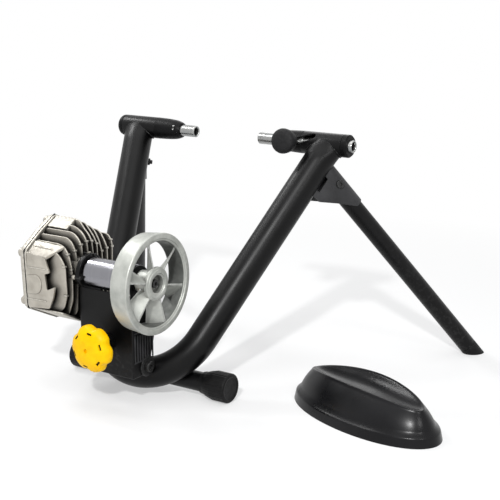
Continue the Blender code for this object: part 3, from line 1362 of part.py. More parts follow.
def make_materials():
    return {
        "paint": material("black_paint", (0.012, 0.012, 0.013), 0.42, 0.0),
        "bracket": material("bracket_paint", (0.028, 0.028, 0.029), 0.5, 0.0),
        "plastic": material("black_plastic", (0.014, 0.014, 0.015), 0.45, 0.0),
        "grip": material("soft_grip", (0.016, 0.016, 0.017), 0.6, 0.0),
        "rubber": material("black_rubber", (0.018, 0.018, 0.019), 0.7, 0.0),
        "chrome": material("bright_chrome", (0.72, 0.73, 0.72), 0.12, 1.0),
        "steel": material("zinc_steel", (0.35, 0.35, 0.36), 0.35, 1.0),
        "roller": material("turned_alloy", (0.62, 0.62, 0.64), 0.25, 1.0),
        "alloy": material("cast_alloy", (0.50, 0.48, 0.44), 0.5, 0.6),
        "flywheel": material("flywheel_alloy", (0.45, 0.46, 0.44), 0.45, 0.6),
        "yellow": material("yellow_plastic", (0.90, 0.62, 0.01), 0.4, 0.0),
    }


def move_to_floor_middle():
    """Moves the finished model so that the world's origin is the middle of its floor space."""
    base = joint_empty("trainer_place", Vector((0, 0, 0)))
    for obj in list(bpy.data.objects):
        if obj.parent is None and obj is not base:
            obj.parent = base
    base.location = -Vector(FLOOR_MIDDLE)


def main():
    clear_scene()
    slots = make_materials()
    build_main_tube(slots)
    build_left_head(slots)
    build_right_head(slots)
    slide = joint_empty("clamp_slide", AXLE)
    swing = joint_empty("lever_swing", AXLE, slide)
    build_clamp(slots, slide, swing)
    build_crossbar(slots)
    for side, name in ((-1, "left"), (1, "right")):
        hinge = joint_empty(f"{name}_leg_hinge", leg_geometry(side)[3])
        build_leg(side, name, slots, hinge)
    trunnion = joint_empty("trunnion_axis", TRUNNION_AXIS)
    build_unit_mount(slots, trunnion)
    unit = joint_empty("unit_pivot", PIVOT_AXIS)
    yoke = build_yoke(slots, unit)
    build_pivot_bolt(slots, unit)
    build_housing(slots, unit, yoke)
    build_bearings(slots, unit)
    knob = joint_empty("knob_axis", Vector((0, YOKE_BACK_Y, TENSION_Z)), unit)
    build_knob(slots, knob)
    rotor = joint_empty("rotor_axis", ROLLER_AXIS, unit)
    build_rotor(slots, rotor)
    block = joint_empty("block_place", Vector((BLOCK_X, BLOCK_Y, 0)))
    build_block(slots, block)
    move_to_floor_middle()


main()
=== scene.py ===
"""Looks of a folding bicycle trainer with a front wheel block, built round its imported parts.

Lengths are metres. Shapes are written from the floor under the middle of the axle: +X runs along
the axle to the flywheel's side, +Y points forward and +Z up. ORIGIN moves them into the model's frame.
"""

import math

import bmesh
import bpy
from mathutils import Matrix, Vector


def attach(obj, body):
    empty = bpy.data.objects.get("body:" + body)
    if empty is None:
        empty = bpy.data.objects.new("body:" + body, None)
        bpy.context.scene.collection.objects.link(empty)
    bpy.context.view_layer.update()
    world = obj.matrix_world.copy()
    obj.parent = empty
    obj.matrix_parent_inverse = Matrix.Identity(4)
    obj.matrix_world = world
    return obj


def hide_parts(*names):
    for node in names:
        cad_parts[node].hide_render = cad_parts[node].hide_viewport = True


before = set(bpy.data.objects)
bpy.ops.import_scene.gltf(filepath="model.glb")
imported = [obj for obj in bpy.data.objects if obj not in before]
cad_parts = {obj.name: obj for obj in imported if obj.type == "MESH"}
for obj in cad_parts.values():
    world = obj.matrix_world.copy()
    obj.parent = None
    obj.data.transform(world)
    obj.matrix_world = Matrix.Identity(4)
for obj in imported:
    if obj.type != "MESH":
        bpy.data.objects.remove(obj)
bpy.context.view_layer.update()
ORIGIN = Vector((0.053, -0.084, 0.0))

SEAT_GAP = 0.0003
RUNNING_GAP = 0.0001
SIDES = 72
SHARP = math.radians(32)
BEVEL_CORNER = math.radians(35)

# Main tube
AXLE_HEIGHT = 0.389
ARM_HALF_SPACING = 0.2005
ARM_LEAN = math.radians(37.54)
TUBE_RADIUS = 0.0254
BEND_RADIUS = 0.1038
BEND_HEIGHT = 0.0334
ARM_END_TRIM = 0.003
PINCH_LENGTH = 0.040
PINCHED_WALL = 0.0023
DENT_LENGTH = 0.030
DENT_DEPTH = 0.0013
FLARE = 0.21
WELD_RADIUS = 0.0016
WELD_STEPS = 120
BEAD_SIDES = 10
BEAD_RIPPLE = 0.16
BEND_BOTTOM_DOWN = (AXLE_HEIGHT - BEND_HEIGHT) / math.cos(ARM_LEAN)
BEND_CENTRE_DOWN = BEND_BOTTOM_DOWN - BEND_RADIUS
BEND_Y = -BEND_BOTTOM_DOWN * math.sin(ARM_LEAN)
ARM_SPLAY = math.acos(BEND_RADIUS / math.hypot(ARM_HALF_SPACING, BEND_CENTRE_DOWN)) - math.atan2(
    BEND_CENTRE_DOWN, ARM_HALF_SPACING
)

# Heads, pins and clamp
HEAD_RADIUS = 0.01905
HEAD_BORE = 0.01605
HEAD_INNER_END = 0.154
HEAD_OUTER_END = 0.2307
LEFT_HEAD_END = 0.229
CAP_LENGTH = 0.0125
COLLAR_LENGTH = 0.0105
NOSE_LENGTH = 0.0515
NOSE_TIP_RADIUS = 0.0128
NOSE_SHOULDER_RADIUS = 0.0181
PIN_RADIUS = 0.0102
PIN_BORE = 0.0072
PIN_SEAT_LENGTH = 0.045
LEFT_PIN_TIP = 0.0715
RIGHT_PIN_TIP = 0.0645
ROD_END = 0.2475
SET_SCREW_RADIUS = 0.0019
SET_SCREW_TOP = 0.0172
SET_SCREW_LENGTH = 0.0048
SET_SCREW_X = 0.1125
SET_SCREW_ANGLES = (math.radians(11), math.radians(30))
PIN_GROOVE = 0.0004
LEVER_CAVITY_RADIUS = 0.0143
LEVER_CAVITY = (0.135, 0.160)
LEVER_X = 0.146
LEVER_ANGLE = math.radians(8.4)
CLAMP_TRAVEL = 0.030
SLOT_TURN = math.radians(40)
SLOT_STEPS = 24
SHANK_RADIUS = 0.0045
LEVER_COLLAR_RADIUS = 0.0135
LEVER_COLLAR_LENGTH = 0.018
GRIP_PROFILE = (
    (0.0068, 0.0235),
    (0.0074, 0.0300),
    (0.0112, 0.0345),
    (0.0160, 0.0400),
    (0.0193, 0.0480),
    (0.0208, 0.0565),
    (0.0205, 0.0605),
    (0.0188, 0.0638),
    (0.0130, 0.0662),
    (0.0, 0.0672),
)

# Crossbar and its end caps
CROSSBAR_Y = -0.2343
CROSSBAR_RADIUS = 0.0159
FOOT_RADIUS = 0.024
FOOT_NECK_RADIUS = 0.0178
FOOT_START = 0.109
FOOT_END = 0.1616
FOOT_TAPER_LENGTH = 0.024
FOOT_EDGE = 0.0022
FOOT_RIM_WIDTH = 0.0043
FOOT_RIM_DEPTH = 0.0012
FOOT_FACETS = 16
FOOT_GROOVE_DEPTH = 0.0009

# Legs
LEG_RADIUS = 0.0154
LEG_TURN = math.radians(60.68)
LEG_ANGLE = math.radians(79.18)
HINGE_ALONG_ARM = 0.0461
HINGE_FROM_ARM = 0.0471
LEG_FOOT_HEIGHT = 0.006
BRACKET_WALL = 0.0022
BRACKET_OUTLINE = (
    (0.0165, 0.1055),
    (0.0558, 0.0980),
    (0.0736, 0.0643),
    (0.0919, 0.0336),
    (0.0900, 0.0240),
    (0.0890, 0.0100),
    (0.0790, 0.0100),
    (0.0785, 0.0243),
    (0.0775, 0.0250),
    (0.0525, 0.0250),
    (0.0515, 0.0243),
    (0.0510, 0.0100),
    (0.0, 0.0100),
)
HINGE_HEAD_RADIUS = 0.0068
HINGE_HEAD_HEIGHT = 0.0042
HINGE_NUT_HEIGHT = 0.006

# Yoke, pivot and tension knob
PIVOT_Y = BEND_Y - 0.03075
PIVOT_Z = 0.061
TENSION_Z = 0.102
YOKE_LEFT = -0.060
YOKE_RIGHT = 0.0475
YOKE_WALL = 0.003
YOKE_BACK_Y = PIVOT_Y - 0.033
YOKE_WEB_TOP = 0.180
YOKE_FOOT_RADIUS = 0.014
YOKE_HEAD_RADIUS = 0.0245
YOKE_BOSS_RADIUS = 0.0295
YOKE_WEB_RISE = 0.003
YOKE_FRONT = ((0.0125, 0.014), (0.0215, 0.043))
BEARING_BORE = 0.0143
PIVOT_BORE = 0.0053
STUD_BORE = 0.0046
YOKE_BOLT_BORE = 0.0023
YOKE_RIB_COUNT = 8
YOKE_RIB_PITCH = 0.0062
KNOB_RADIUS = 0.0378
KNOB_LOBES = 6
KNOB_LOBE_DEPTH = 0.0040
KNOB_LOBE_SHARPNESS = 3
KNOB_PHASE = math.radians(20)
KNOB_HUB_LENGTH = 0.034
KNOB_DEPTH = 0.023
KNOB_HUB_RADIUS = 0.013
KNOB_SECTIONS = (
    (0.94, 0.0, 1.0),
    (1.0, 0.10, 1.0),
    (1.0, 0.34, 1.0),
    (0.955, 0.52, 0.85),
    (0.84, 0.72, 0.45),
    (0.64, 0.88, 0.12),
    (0.36, 0.97, 0.0),
    (0.0, 1.0, 0.0),
)
KNOB_SLOT_RADIUS = 0.027
KNOB_SLOT_HALF = (0.0017, 0.0047)
KNOB_BORE = 0.0043
KNOB_MOUTH = 0.0034

# Rotor
ROLLER_Y = PIVOT_Y - 0.0124
ROLLER_Z = 0.2039
ROLLER_RADIUS = 0.0244
ROLLER_LEFT = -0.048
ROLLER_RIGHT = 0.040
ROTOR_BORE = 0.0063
FLYWHEEL_FRONT = 0.0849
FLYWHEEL_BACK = 0.0510
FLYWHEEL_RADIUS = 0.0799
FLYWHEEL_BACK_RADIUS = 0.0765
RIM_BORE = 0.0675
RIM_NECK_BORE = 0.0645
RIM_NECK_X = 0.061
RIM_LINING = 0.0004
HUB_RADIUS = 0.027
HUB_BODY_RADIUS = 0.020
HUB_DISC_THICKNESS = 0.009
HUB_RECESS_RADIUS = 0.0143
HUB_RECESS_DEPTH = 0.012
BLADE_COUNT = 6
BLADE_PHASE = math.radians(46)
BLADE_FRONT = 0.081
BLADE_BACK = 0.062
BLADE_TWIST = math.radians(20)
BLADE_THICKNESS = 0.0028

# Fluid housing
HOUSING_LEFT = -0.148
HOUSING_CORE_RIGHT = -0.108
HOUSING_LIP = 0.0018
FIN_DEPTH = 0.010
FIN_LEFT = -0.1435
COVER_FACE = -0.1494
COVER_END = -0.1604
HOUSING_OUTLINE = (
    (0.0244, 0.0771),
    (-0.0136, 0.0551),
    (-0.0486, 0.0311),
    (-0.0446, -0.0639),
    (0.0194, -0.0959),
    (0.0600, -0.0900),
    (0.0790, -0.0600),
    (0.0790, 0.0430),
    (0.0590, 0.0560),
)
# The cover's edge, from the housing to its face: how far out, and how far along the axle
COVER_EDGE = (
    (HOUSING_LIP, COVER_FACE),
    (HOUSING_LIP, -0.1545),
    (HOUSING_LIP - 0.0012, -0.1575),
    (HOUSING_LIP - 0.004, -0.1598),
    (HOUSING_LIP - 0.008, COVER_END),
)
COVER_RIB_COUNT = 5
COVER_RIB_PITCH = 0.012
COVER_SCREW_CORNERS = (0, 2, 3, 4, 6, 7)
COVER_SCREW_INSET = 0.011
COVER_BOSS_RADIUS = 0.0075
COVER_BOSS_HEIGHT = 0.004
COVER_SCREW_HEAD_RADIUS = 0.0042
COVER_SCREW_HEAD_HEIGHT = 0.0032
FIN_THICKNESS = 0.003
NECK_FLANGE_RADIUS = 0.0235
BOLT_CIRCLE = 0.0275
BOLT_ANGLES = (math.radians(190), math.radians(310), math.radians(70))
LUG_RADIUS = 0.0038
CAVITY_RADIUS = 0.040
NECK_BORE = 0.0083
PAD_RIGHT = -0.1015
SKIRT_RIGHT = -0.0745
SKIRT_WALL = 0.0028
# Each fin's place along the bicycle, and the outer edge of its face from the top down
FINS = (
    (-0.3520, ((-0.094, 0.240), (-0.081, 0.229), (-0.073, 0.216), (-0.071, 0.169), (-0.078, 0.147))),
    (-0.3420, ((-0.096, 0.252), (-0.083, 0.246), (-0.074, 0.234), (-0.067, 0.210), (-0.068, 0.161))),
    (-0.3300, ((-0.088, 0.258), (-0.078, 0.252), (-0.070, 0.238), (-0.065, 0.205), (-0.070, 0.137))),
    (-0.3180, ((-0.086, 0.264), (-0.076, 0.258), (-0.068, 0.246), (-0.064, 0.205), (-0.069, 0.135))),
    (-0.3060, ((-0.084, 0.268), (-0.074, 0.261), (-0.067, 0.249), (-0.064, 0.205), (-0.069, 0.130))),
    (-0.2930, ((-0.083, 0.266), (-0.074, 0.258), (-0.068, 0.247), (-0.065, 0.205), (-0.069, 0.130))),
    (-0.2800, ((-0.083, 0.261), (-0.075, 0.252), (-0.069, 0.240), (-0.067, 0.180), (-0.071, 0.130))),
    (-0.2670, ((-0.084, 0.257), (-0.076, 0.244), (-0.070, 0.225), (-0.069, 0.170), (-0.072, 0.130))),
    (-0.2550, ((-0.083, 0.254), (-0.073, 0.238), (-0.069, 0.228), (-0.069, 0.170), (-0.074, 0.135))),
    (-0.2420, ((-0.084, 0.250), (-0.077, 0.247), (-0.071, 0.239), (-0.069, 0.228), (-0.072, 0.160))),
)
# The wall over the foremost fins, seen from behind the trainer: across, and up
SHIELD_OUTLINE = (
    (-0.146, 0.2345),
    (-0.105, 0.2290),
    (-0.101, 0.2160),
    (-0.096, 0.2050),
    (-0.107, 0.2020),
    (-0.103, 0.1760),
    (-0.086, 0.1840),
    (-0.090, 0.1660),
    (-0.099, 0.1460),
    (-0.144, 0.1420),
)
RELIEF_OUTLINE = (
    (-0.145, 0.196),
    (-0.122, 0.199),
    (-0.115, 0.193),
    (-0.113, 0.183),
    (-0.116, 0.172),
    (-0.124, 0.167),
    (-0.145, 0.165),
)
BROW_CORNERS = (
    (-0.1460, -0.3652, 0.2325),
    (-0.1034, -0.3654, 0.2305),
    (-0.0815, -0.3440, 0.2470),
    (-0.1460, -0.3440, 0.2492),
)
SHIELD_BACK = -0.3654
SHIELD_FRONT = -0.3612

# Front wheel block
BLOCK_PLACE = (0.3661, -0.1653, 0.0)
BLOCK_TURN = math.radians(-18.9)
BLOCK_HALF_LENGTH = 0.1482
BLOCK_HALF_WIDTH = 0.0700
BLOCK_ROUNDNESS = 2.03
BLOCK_FLANGE_HEIGHT = 0.0142
BLOCK_FLANGE_DRAFT = 0.0033
BLOCK_SHOULDER_HEIGHT = 0.0202
BLOCK_SHOULDER_INSET = 0.0105
BLOCK_RIM_HALF_LENGTH = 0.1212
BLOCK_RIM_HALF_WIDTH = 0.0368
BLOCK_RIM_ROUNDNESS = 1.83
BLOCK_RIM_HEIGHT = 0.0609
BLOCK_RIM_DROP = 0.0132
BLOCK_DISH_DEPTH = 0.018
BLOCK_WALL = 0.004
BLOCK_SEGMENTS = 144
BLOCK_LIP = 0.0015

X_AXIS = Vector((1, 0, 0))
BACKWARD = Vector((0, -1, 0))
IN_PLACE = Matrix.Identity(4)
FACING_BACK = Matrix.Rotation(math.pi / 2, 4, "X")
UPSIDE_DOWN = Matrix.Rotation(math.pi, 4, "X")
AXLE = Vector((0, 0, AXLE_HEIGHT))
ROLLER_AXIS = Vector((0, ROLLER_Y, ROLLER_Z))
PIVOT_AXIS = Vector((0, PIVOT_Y, PIVOT_Z))
LEVER_DIRECTION = Vector((0, -math.cos(LEVER_ANGLE), math.sin(LEVER_ANGLE)))


# Shaping helpers


def frame_of(origin, forward, reference=None):
    """A matrix whose local Z runs forward, and whose local X is square to the reference."""
    z = Vector(forward).normalized()
    up = Vector(reference) if reference else Vector((0, 0, 1))
    if abs(z.dot(up)) > 0.99:
        up = Vector((1, 0, 0))
    x = up.cross(z).normalized()
    y = z.cross(x)
    return Matrix.Translation(origin) @ Matrix((x, y, z)).transposed().to_4x4()


def along_x(origin, x=0.0):
    """Local Z is +X, local X is +Y and local Y is +Z."""
    return frame_of(Vector(origin) + X_AXIS * x, X_AXIS)


# For outlines whose points are (forward, up)
WHOLE = along_x((0, 0, 0))


def add_object(name, data):
    obj = bpy.data.objects.new(name, data)
    bpy.context.scene.collection.objects.link(obj)
    return obj


def mesh_object(name, data, matrix=IN_PLACE, sharp=SHARP):
    bmesh.ops.recalc_face_normals(data, faces=data.faces)
    mesh = bpy.data.meshes.new(name)
    data.to_mesh(mesh)
    data.free()
    mesh.transform(Matrix.Translation(-ORIGIN) @ matrix)
    return smooth(add_object(name, mesh), sharp)


def smooth(obj, sharp=SHARP):
    obj.data.shade_smooth()
    obj.data.set_sharp_from_angle(angle=sharp)
    return obj


def settle(obj):
    """Applies the object's modifiers to its mesh."""
    bpy.context.view_layer.update()
    shaped = obj.evaluated_get(bpy.context.evaluated_depsgraph_get())
    mesh = bpy.data.meshes.new_from_object(shaped)
    obj.modifiers.clear()
    obj.data = mesh
    return obj


def carve(obj, *tools, operation="DIFFERENCE", sharp=SHARP):
    for tool in tools:
        step = obj.modifiers.new(tool.name, "BOOLEAN")
        step.operation = operation
        step.object = tool
        step.solver = "EXACT"
    settle(obj)
    for tool in tools:
        bpy.data.objects.remove(tool, do_unlink=True)
    return smooth(obj, sharp)


def soften(obj, width, segments=2):
    """Rounds the edges that are sharper than BEVEL_CORNER."""
    step = obj.modifiers.new("edges", "BEVEL")
    step.width = width
    step.segments = segments
    step.limit_method = "ANGLE"
    step.angle_limit = BEVEL_CORNER
    settle(obj)
    return smooth(obj)


def merge(name, *objs):
    """Joins several shapes into one object."""
    data = bmesh.new()
    for obj in objs:
        data.from_mesh(obj.data)
        bpy.data.objects.remove(obj, do_unlink=True)
    mesh = bpy.data.meshes.new(name)
    data.to_mesh(mesh)
    data.free()
    return smooth(add_object(name, mesh))


def join_rings(data, rings, closed=False, capped=False):
    """Joins neighbouring rings of vertices; a ring of one vertex is a point."""
    count = len(rings)
    for i in range(count if closed else count - 1):
        a, b = rings[i], rings[(i + 1) % count]
        size = max(len(a), len(b))
        for k in range(size):
            after = (k + 1) % size
            if len(a) == 1 and len(b) == 1:
                break
            if len(a) == 1:
                data.faces.new((a[0], b[k], b[after]))
            elif len(b) == 1:
                data.faces.new((a[k], a[after], b[0]))
            else:
                data.faces.new((a[k], a[after], b[after], b[k]))
    if capped:
        data.faces.new(rings[0])
        data.faces.new(rings[-1])


def rounded(points, reach, closed=False, steps=4):
    """The line with each of its corners turned into a short curve."""
    made = []
    count = len(points)
    for k, point in enumerate(points):
        corner = Vector(point)
        if not closed and k in (0, count - 1):
            made.append(corner)
            continue
        before = Vector(points[k - 1]) - corner
        after = Vector(points[(k + 1) % count]) - corner
        a = corner + before.normalized() * min(reach, before.length * 0.45)
        b = corner + after.normalized() * min(reach, after.length * 0.45)
        for i in range(steps + 1):
            s = i / steps
            made.append(a * (1 - s) ** 2 + corner * (2 * s * (1 - s)) + b * s**2)
    return made


def curved(points, steps=5):
    """A smooth line through the points."""
    pts = [Vector(p) for p in points]
    pts = [pts[0] * 2 - pts[1], *pts, pts[-1] * 2 - pts[-2]]
    made = []
    for a, b, c, d in zip(pts, pts[1:], pts[2:], pts[3:]):
        for i in range(steps):
            s = i / steps
            made.append(
                (
                    b * 2 + (c - a) * s + (a * 2 - b * 5 + c * 4 - d) * s**2 + (
                        b * 3 - a - c * 3 + d
                    ) * s**3
                ) / 2
            )
    made.append(pts[-2])
    return made


def lathe(name, profile, matrix, sides=SIDES, ripple=None, sharp=SHARP):
    """Turns (radius, along) pairs round local Z; a profile that starts off the axis is a closed loop."""
    data = bmesh.new()
    rings = []
    for radius, along in profile:
        if radius < 1e-6:
            rings.append([data.verts.new((0, 0, along))])
            continue
        ring = []
        for k in range(sides):
            t = math.tau * k / sides
            r = ripple(radius, along, t) if ripple else radius
            ring.append(data.verts.new((r * math.cos(t), r * math.sin(t), along)))
        rings.append(ring)
    join_rings(data, rings, closed=len(rings[0]) > 1)
    return mesh_object(name, data, matrix, sharp)


def rod(name, radius, start, end, matrix, sides=48, edge=0.0):
    profile = [(0, start), (radius, start), (radius, end), (0, end)]
    return lathe(name, rounded(profile, edge) if edge else profile, matrix, sides)


def pipe(name, radius, bore, start, end, matrix, sides=SIDES, edge=0.0006):
    profile = [(radius, start), (radius, end), (bore, end), (bore, start)]
    return lathe(name, rounded(profile, edge, closed=True), matrix, sides)


def plate(name, outline, start, end, matrix, edge=0.0, segments=2):
    """Extrudes an outline of (x, y) points from local z = start to end."""
    data = bmesh.new()
    low = [data.verts.new((x, y, start)) for x, y in outline]
    high = [data.verts.new((x, y, end)) for x, y in outline]
    data.faces.new(low)
    data.faces.new(high)
    join_rings(data, [low, high])
    made = mesh_object(name, data, matrix)
    return soften(made, edge, segments) if edge else made


def arc(centre, radius, start, end, steps):
    angles = (start + (end - start) * k / steps for k in range(steps + 1))
    return [(centre[0] + radius * math.cos(t), centre[1] + radius * math.sin(t)) for t in angles]


def hexagon(radius):
    return arc((0, 0), radius, 0, math.tau * 5 / 6, 5)


def socket_screw(name, head, height, matrix):
    """A round screw head with a hexagon socket, standing on local z = 0."""
    body = [(0, 0), (head, 0), (head, height), (0, height)]
    made = lathe(name, rounded(body, height * 0.22), matrix, 48)
    key = plate("key", hexagon(head * 0.5), height * 0.45, height * 2, matrix)
    return carve(made, key)


def hex_nut(name, outer, height, matrix, proud=1.12):
    """A chamfered nut that stands on local z = 0, with the end of its bolt showing."""
    nut = plate(name, hexagon(outer), 0, height, matrix)
    dome = [(0, -height), (outer, -height), (outer, height * 0.80), (outer * 0.84, height), (0, height)]
    carve(nut, lathe("dome", dome, matrix, 48), operation="INTERSECT")
    end = rod("end", outer * 0.55, height * 0.5, height * proud, matrix, 32, 0.0006)
    return merge(name, nut, end)


# Materials


def add_node(tree, kind, inputs=None, **settings):
    """Adds a shader node. Each input takes a number, a colour or another node's output."""
    made = tree.nodes.new(f"ShaderNode{kind}")
    for name, value in settings.items():
        setattr(made, name, value)
    for key, value in (inputs or {}).items():
        if isinstance(value, bpy.types.NodeSocket):
            tree.links.new(value, made.inputs[key])
        else:
            made.inputs[key].default_value = value
    return made


class Look:
    """A node-based material, built from one shader and the textures that drive it."""

    def __init__(self, name, roughness, metallic=0.0, specular=0.5):
        self.material = bpy.data.materials.new(name)
        self.material.use_nodes = True
        self.tree = self.material.node_tree
        self.shader = self.tree.nodes["Principled BSDF"]
        self.shader.inputs["Roughness"].default_value = roughness
        self.shader.inputs["Metallic"].default_value = metallic
        self.shader.inputs["Specular IOR Level"].default_value = specular
        self.place = self.add("TexCoord").outputs["Object"]
        self.normal = None

    def add(self, kind, inputs=None, **settings):
        return add_node(self.tree, kind, inputs, **settings)

    def noise(self, size, detail=3.0, stretch=(1, 1, 1)):
        """Grains of about this size in metres, longer along an axis where stretch is below 1."""
        place = self.add("Mapping", {"Vector": self.place, "Scale": stretch}).outputs["Vector"]
        inputs = {"Vector": place, "Scale": 1 / size, "Detail": detail, "Roughness": 0.55}
        return self.add("TexNoise", inputs).outputs["Fac"]

    def cells(self, size):
        return self.add("TexVoronoi", {"Vector": self.place, "Scale": 1 / size}).outputs["Distance"]

    def edges(self, low, high):
        """High along convex edges, from the mesh's own curvature."""
        return self.spread(self.add("NewGeometry").outputs["Pointiness"], low, high)

    def gap_shade_mask(self, reach, low, high):
        """Low in narrow gaps and high on open surfaces: the mask for painted shade where little light reaches.
        """
        made = self.add("AmbientOcclusion", {"Distance": reach}, samples=8)
        return self.spread(made.outputs["AO"], low, high)

    def spread(self, value, low, high, start=0.0, end=1.0):
        inputs = {"Value": value, "From Min": low, "From Max": high, "To Min": start, "To Max": end}
        return self.add("MapRange", inputs).outputs["Result"]

    def times(self, a, b):
        return self.add("Math", {0: a, 1: b}, operation="MULTIPLY").outputs["Value"]

    def blend(self, amount, first, second):
        """A colour between two others; each is a colour or the result of another blend."""
        first, second = ((*c, 1) if isinstance(c, tuple) else c for c in (first, second))
        return self.add("Mix", {"Factor": amount, 6: first, 7: second}, data_type="RGBA").outputs[2]

    def mottle(self, patches, first, second, low=0.35, high=0.65):
        """A colour that wanders between two others with a texture."""
        return self.blend(self.spread(patches, low, high), first, second)

    def colour(self, value):
        self.tree.links.new(value, self.shader.inputs["Base Color"])

    def rough(self, patches, smoothest, roughest):
        self.tree.links.new(
            self.spread(patches, 0.3, 0.7, smoothest, roughest), self.shader.inputs["Roughness"]
        )

    def bump(self, height, depth, strength=1.0):
        inputs = {"Height": height, "Distance": depth, "Strength": strength}
        if self.normal:
            inputs["Normal"] = self.normal
        self.normal = self.add("Bump", inputs).outputs["Normal"]
        self.tree.links.new(self.normal, self.shader.inputs["Normal"])


def powder_coat():
    look = Look("powder_coat", 0.30, specular=0.18)
    patches = look.noise(0.05)
    worn = look.times(look.edges(0.53, 0.60), look.spread(look.noise(0.006), 0.50, 0.62, 0.0, 0.5))
    body = look.mottle(patches, (0.0015, 0.0015, 0.0016), (0.0028, 0.0028, 0.0030))
    look.colour(look.blend(worn, body, (0.06, 0.06, 0.06)))
    look.rough(patches, 0.33, 0.41)
    look.bump(look.noise(0.0011, 2.0), 0.00012, 0.5)
    return look.material


def bracket_coat():
    look = Look("bracket_coat", 0.45, specular=0.2)
    patches = look.noise(0.03)
    look.colour(look.mottle(patches, (0.026, 0.026, 0.027), (0.038, 0.038, 0.040)))
    look.rough(patches, 0.40, 0.52)
    look.bump(look.noise(0.0012, 2.0), 0.00014, 0.5)
    return look.material


def moulded_plastic():
    look = Look("moulded_plastic", 0.36, specular=0.12)
    look.colour(look.mottle(look.noise(0.02), (0.0018, 0.0018, 0.0019), (0.0034, 0.0034, 0.0036)))
    look.rough(look.noise(0.008), 0.38, 0.50)
    look.bump(look.cells(0.0009), 0.0001, 0.5)
    return look.material


def grip_rubber():
    look = Look("grip_rubber", 0.6, specular=0.2)
    look.colour(look.mottle(look.noise(0.004), (0.0065, 0.0065, 0.007), (0.011, 0.011, 0.0115)))
    look.rough(look.noise(0.006), 0.52, 0.68)
    look.bump(look.cells(0.0012), 0.0003, 0.7)
    return look.material


def foot_rubber():
    look = Look("foot_rubber", 0.34, specular=0.16)
    look.colour(look.mottle(look.noise(0.01), (0.0030, 0.0030, 0.0031), (0.0055, 0.0055, 0.0057)))
    look.rough(look.noise(0.006), 0.42, 0.58)
    look.bump(look.noise(0.0016), 0.0003, 0.5)
    return look.material


def block_rubber():
    look = Look("block_rubber", 0.27, specular=0.20)
    patches = look.noise(0.06)
    look.colour(look.mottle(patches, (0.0030, 0.0030, 0.0036), (0.0055, 0.0055, 0.0064)))
    look.rough(patches, 0.24, 0.33)
    look.bump(look.noise(0.0014), 0.00012, 0.35)
    return look.material


def polished_chrome():
    look = Look("polished_chrome", 0.12, metallic=1.0)
    rings = look.noise(0.0016, 2.0, (1, 0.02, 0.02))
    look.colour(look.mottle(look.noise(0.01), (0.30, 0.31, 0.31), (0.38, 0.38, 0.37)))
    look.rough(rings, 0.22, 0.29)
    look.bump(rings, 0.000004, 0.1)
    return look.material


def zinc_plate():
    look = Look("zinc_plate", 0.35, metallic=1.0)
    patches = look.noise(0.004, 4.0)
    look.colour(look.mottle(patches, (0.26, 0.27, 0.27), (0.38, 0.38, 0.37)))
    look.rough(patches, 0.26, 0.44)
    look.bump(look.noise(0.0008), 0.00006, 0.5)
    return look.material


def blackened_steel():
    look = Look("blackened_steel", 0.4, metallic=0.6)
    patches = look.noise(0.003, 4.0)
    look.colour(look.mottle(patches, (0.02, 0.02, 0.02), (0.045, 0.045, 0.045)))
    look.rough(patches, 0.32, 0.48)
    look.bump(look.noise(0.0008), 0.00006, 0.5)
    return look.material


def turned_steel():
    look = Look("turned_steel", 0.2, metallic=1.0)
    lines = look.noise(0.0010, 2.0, (1, 0.01, 0.01))
    look.colour(look.mottle(lines, (0.25, 0.25, 0.27), (0.28, 0.28, 0.30), 0.3, 0.7))
    look.rough(lines, 0.20, 0.25)
    look.bump(lines, 0.000003, 0.1)
    return look.material


def cast_colour(look, stains, light, dark, worn, gap_shade_reach, gap_shade_colour):
    """Stained metal that is bright where its edges are worn, with painted shade darkening it in narrow gaps."""
    body = look.mottle(stains, light, dark, 0.35, 0.70)
    rubbed = look.times(look.edges(0.52, 0.58), look.spread(look.noise(0.004), 0.40, 0.60, 0.1, 0.8))
    look.colour(look.blend(look.gap_shade_mask(*gap_shade_reach), gap_shade_colour, look.blend(rubbed, body, worn)))


def cast_alloy():
    look = Look("cast_alloy", 0.5, metallic=0.55)
    stains = look.noise(0.02, 4.0)
    light, dark, worn = (0.47, 0.44, 0.385), (0.36, 0.335, 0.29), (0.66, 0.64, 0.58)
    # The last two arguments give the reach of the painted shade in gaps and its near-black colour.
    cast_colour(look, stains, light, dark, worn, (0.038, 0.38, 0.97), (0.016, 0.0145, 0.012))
    look.rough(stains, 0.42, 0.56)
    look.bump(look.noise(0.006), 0.0004, 0.35)
    look.bump(look.noise(0.0012, 4.0), 0.00022, 0.7)
    return look.material


def coated_casting():
    look = Look("coated_casting", 0.42, metallic=0.5)
    stains = look.noise(0.025, 4.0)
    light, dark, worn = (0.49, 0.50, 0.465), (0.33, 0.34, 0.315), (0.74, 0.75, 0.72)
    # The last two arguments give the reach of the painted shade in gaps and its dark colour.
    cast_colour(look, stains, light, dark, worn, (0.014, 0.25, 0.90), (0.07, 0.07, 0.066))
    look.rough(stains, 0.36, 0.50)
    look.bump(look.noise(0.0011, 4.0), 0.00022, 0.7)
    return look.material


def shaded_rough_casting():
    """The unmachined inside of a casting, darker than its outside with painted shade for the shadowed hollow of
    the rim.
    """
    look = Look("shaded_rough_casting", 0.55, metallic=0.5)
    stains = look.noise(0.018, 4.0)
    look.colour(look.mottle(stains, (0.16, 0.165, 0.155), (0.09, 0.095, 0.088), 0.35, 0.70))
    look.rough(stains, 0.48, 0.62)
    look.bump(look.noise(0.0011, 4.0), 0.00025, 0.7)
    return look.material


def yellow_plastic():
    look = Look("yellow_plastic", 0.42, specular=0.12)
    patches = look.noise(0.015)
    look.colour(look.mottle(patches, (0.86, 0.47, 0.0), (0.92, 0.55, 0.0)))
    look.rough(patches, 0.38, 0.48)
    look.bump(look.cells(0.0010), 0.00012, 0.5)
    return look.material


